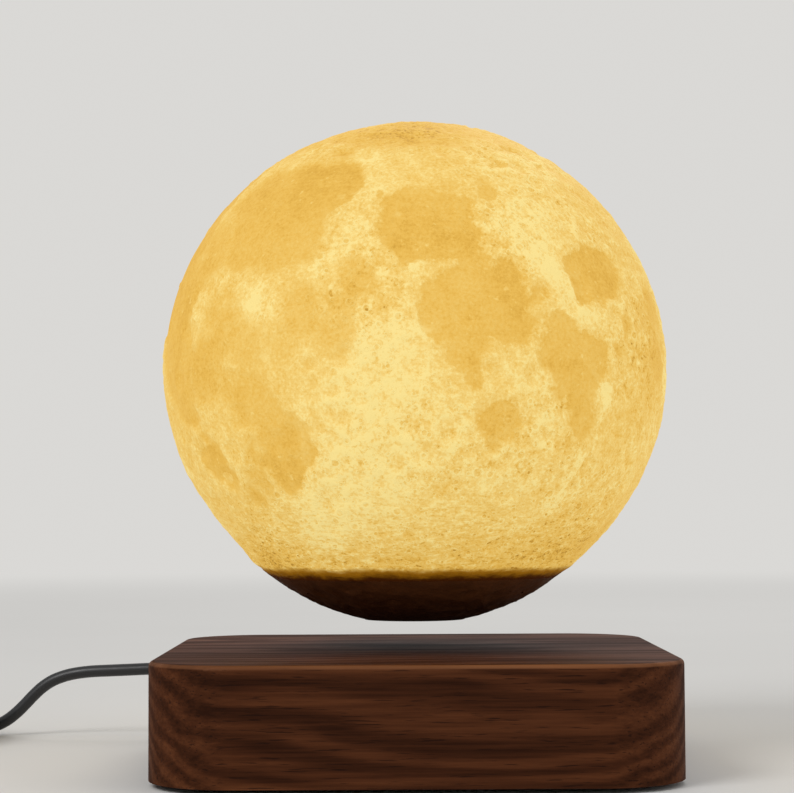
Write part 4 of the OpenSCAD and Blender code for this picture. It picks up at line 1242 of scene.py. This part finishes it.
def make_pin_nickel():
    """Nickel plate with fine turning lines. The mains pins have black sleeves at their roots."""
    skin = Finish("pin_nickel", 0.25)
    along = parts(skin.where)[1]
    sleeve = (remap(along, PIN_SLEEVE_FROM_Y - 0.1 * MM, PIN_SLEEVE_FROM_Y)
              * remap(along, PIN_SLEEVE_TO_Y, PIN_SLEEVE_TO_Y - 0.1 * MM))
    lines = drawn_out(skin.where, (60, 3500, 60))
    smudges = noise_at(skin.where, 180, 4, 0.6)
    bright = blend(smudges, (0.62, 0.60, 0.55), (0.80, 0.78, 0.74))
    return skin.take(
        Base_Color=blend(sleeve, bright, (0.016, 0.016, 0.018)),
        Metallic=1.0 - sleeve,
        Roughness=remap(smudges, 0.3, 0.7, 0.18, 0.34) + sleeve * 0.2,
        Normal=bump(lines * 0.1 + sleeve, 0.4, 0.1 * MM),
    )


def mottled(skin, dark, light, scale, roughness, contrast, height):
    """Lets a finish wander between two tones and two roughnesses."""
    mask = mask_of(MOTTLE, Vector=skin.where, Scale=scale, Contrast=contrast)
    return skin.take(Base_Color=blend(mask, dark, light),
                     Roughness=remap(mask, 0.2, 0.8, *roughness), Normal=height)


def plain(name, dark, light, scale, roughness, metallic=0.0, contrast=1.4, bumps=0.1):
    """A moulded, plated or sintered finish with fine bumps."""
    skin = Finish(name, roughness[0], metallic)
    fine = bump(noise_at(skin.where, scale * 9, 3), bumps, 0.2 * MM)
    return mottled(skin, dark, light, scale, roughness, contrast, fine)


def turned_metal(name, dark, light, roughness):
    """Metal with rings from the lathe round the upright axis."""
    skin = Finish(name, roughness[0], 1.0)
    rings = bump(mask_of(TURNS, Vector=skin.where, Pitch=0.3 * MM), 0.25, 0.05 * MM)
    return mottled(skin, dark, light, 120, roughness, 1.6, rings)


FINISHES = {
    "moon_print": make_moon_print(),
    "cap_print": make_cap_print(),
    "walnut": make_walnut(),
    "tie_strap": make_tie_strap(),
    "copper": make_copper(),
    "board_green": make_board_green(),
    "pin_nickel": make_pin_nickel(),
    "core_iron": turned_metal("core_iron", (0.16, 0.16, 0.17), (0.32, 0.32, 0.33), (0.3, 0.5)),
    "magnet_nickel": turned_metal("magnet_nickel", (0.6, 0.58, 0.54), (0.76, 0.74, 0.70),
                                  (0.14, 0.3)),
}
for slot, *looks, settings in (
    ("lead_pvc", (0.010, 0.010, 0.011), (0.020, 0.020, 0.022), 90, (0.34, 0.48), {}),
    ("adapter_plastic", (0.014, 0.014, 0.015), (0.024, 0.024, 0.026), 120, (0.42, 0.58),
     {"bumps": 0.35}),
    ("black_plastic", (0.016, 0.016, 0.017), (0.030, 0.030, 0.032), 110, (0.45, 0.62),
     {"bumps": 0.4}),
    ("foot_rubber", (0.022, 0.022, 0.022), (0.045, 0.045, 0.045), 170, (0.7, 0.88),
     {"bumps": 0.4}),
    ("screw_steel", (0.42, 0.42, 0.42), (0.62, 0.62, 0.61), 260, (0.24, 0.42),
     {"metallic": 1.0, "bumps": 0.2}),
    ("ferrite", (0.045, 0.045, 0.05), (0.11, 0.11, 0.12), 420, (0.55, 0.75),
     {"contrast": 2.2, "bumps": 0.5}),
    ("bobbin_nylon", (0.62, 0.58, 0.48), (0.74, 0.71, 0.62), 80, (0.4, 0.52), {}),
    ("chip_black", (0.012, 0.012, 0.012), (0.024, 0.024, 0.024), 500, (0.5, 0.66),
     {"bumps": 0.4}),
    ("capacitor_sleeve", (0.016, 0.028, 0.12), (0.03, 0.05, 0.2), 100, (0.2, 0.32), {}),
    ("contact_gold", (0.62, 0.42, 0.14), (0.84, 0.63, 0.27), 300, (0.2, 0.34),
     {"metallic": 1.0}),
    ("white_plastic", (0.70, 0.70, 0.68), (0.82, 0.82, 0.80), 80, (0.38, 0.52), {}),
    ("led_lens", (0.75, 0.55, 0.10), (0.90, 0.74, 0.25), 600, (0.12, 0.22), {}),
):
    FINISHES[slot] = plain(slot, *looks, **settings)


def finish_nodes():
    """Gives each CAD node its finish, by the slot that the record names."""
    for row in frame["record"]["subparts"]:
        node = frame["nodes"][row["node"]]
        node.data.materials.clear()
        node.data.materials.append(FINISHES[row["material_slot"]])


# ------------------------------------------------------------------- stage
BACKDROP = (0.70, 0.69, 0.67)
DAYLIGHT = (0.55, 0.55, 0.55)
FLOOR_R = 9
FADE_FROM = 0.35
FADE_TO = 2.2
AIM = Vector((0, 0, 0.09))
# Each light: its name, place, width and power
LIGHTS = [
    ("key", (-0.8, -0.9, 1.0), 0.7, 10),
    ("fill", (1.1, -0.6, 0.5), 0.9, 3),
    ("back", (0.3, 1.1, 1.1), 0.8, 5),
]


def seen_directly(tree):
    return add("LightPath", out="Is Camera Ray", tree=tree)


def make_stage():
    """A pale floor, which turns into the backdrop's even colour away from the object."""
    deselect()
    bpy.ops.mesh.primitive_circle_add(vertices=96, radius=FLOOR_R, fill_type="NGON")
    floor = start_piece("floor")
    skin = Finish("floor", 0.8, specular=0.0)
    away = add("VectorMath", {0: skin.where}, "Value", operation="LENGTH")
    fade = remap(away, FADE_FROM, FADE_TO) * seen_directly(skin.tree)
    near = blend(noise_at(skin.where, 6, 4), (0.64, 0.63, 0.61), (0.67, 0.66, 0.64))
    floor.data.materials.append(skin.take(
        Base_Color=blend(fade, near, BLACK),
        Emission_Color=blend(fade, BLACK, BACKDROP), Emission_Strength=1,
    ))
    world = bpy.data.worlds.new("world")
    bpy.context.scene.world = world
    world.use_nodes = True
    tree = world.node_tree
    plug(blend(seen_directly(tree), DAYLIGHT, BACKDROP), tree.nodes["Background"].inputs["Color"])


def make_light(name, spot, size, power):
    data = bpy.data.lights.new(name, "AREA")
    data.shape = "DISK"
    data.size = size
    data.energy = power
    light = new_object(name, data)
    light.location = spot
    light.rotation_euler = (AIM - Vector(spot)).to_track_quat("-Z", "Y").to_euler()


make_camera()
finish_nodes()
make_plug()
make_strap()
make_adapter()
make_lead()
make_globe()
make_cap()
make_stage()
for light in LIGHTS:
    make_light(*light)
bpy.context.scene.view_settings.view_transform = "Standard"
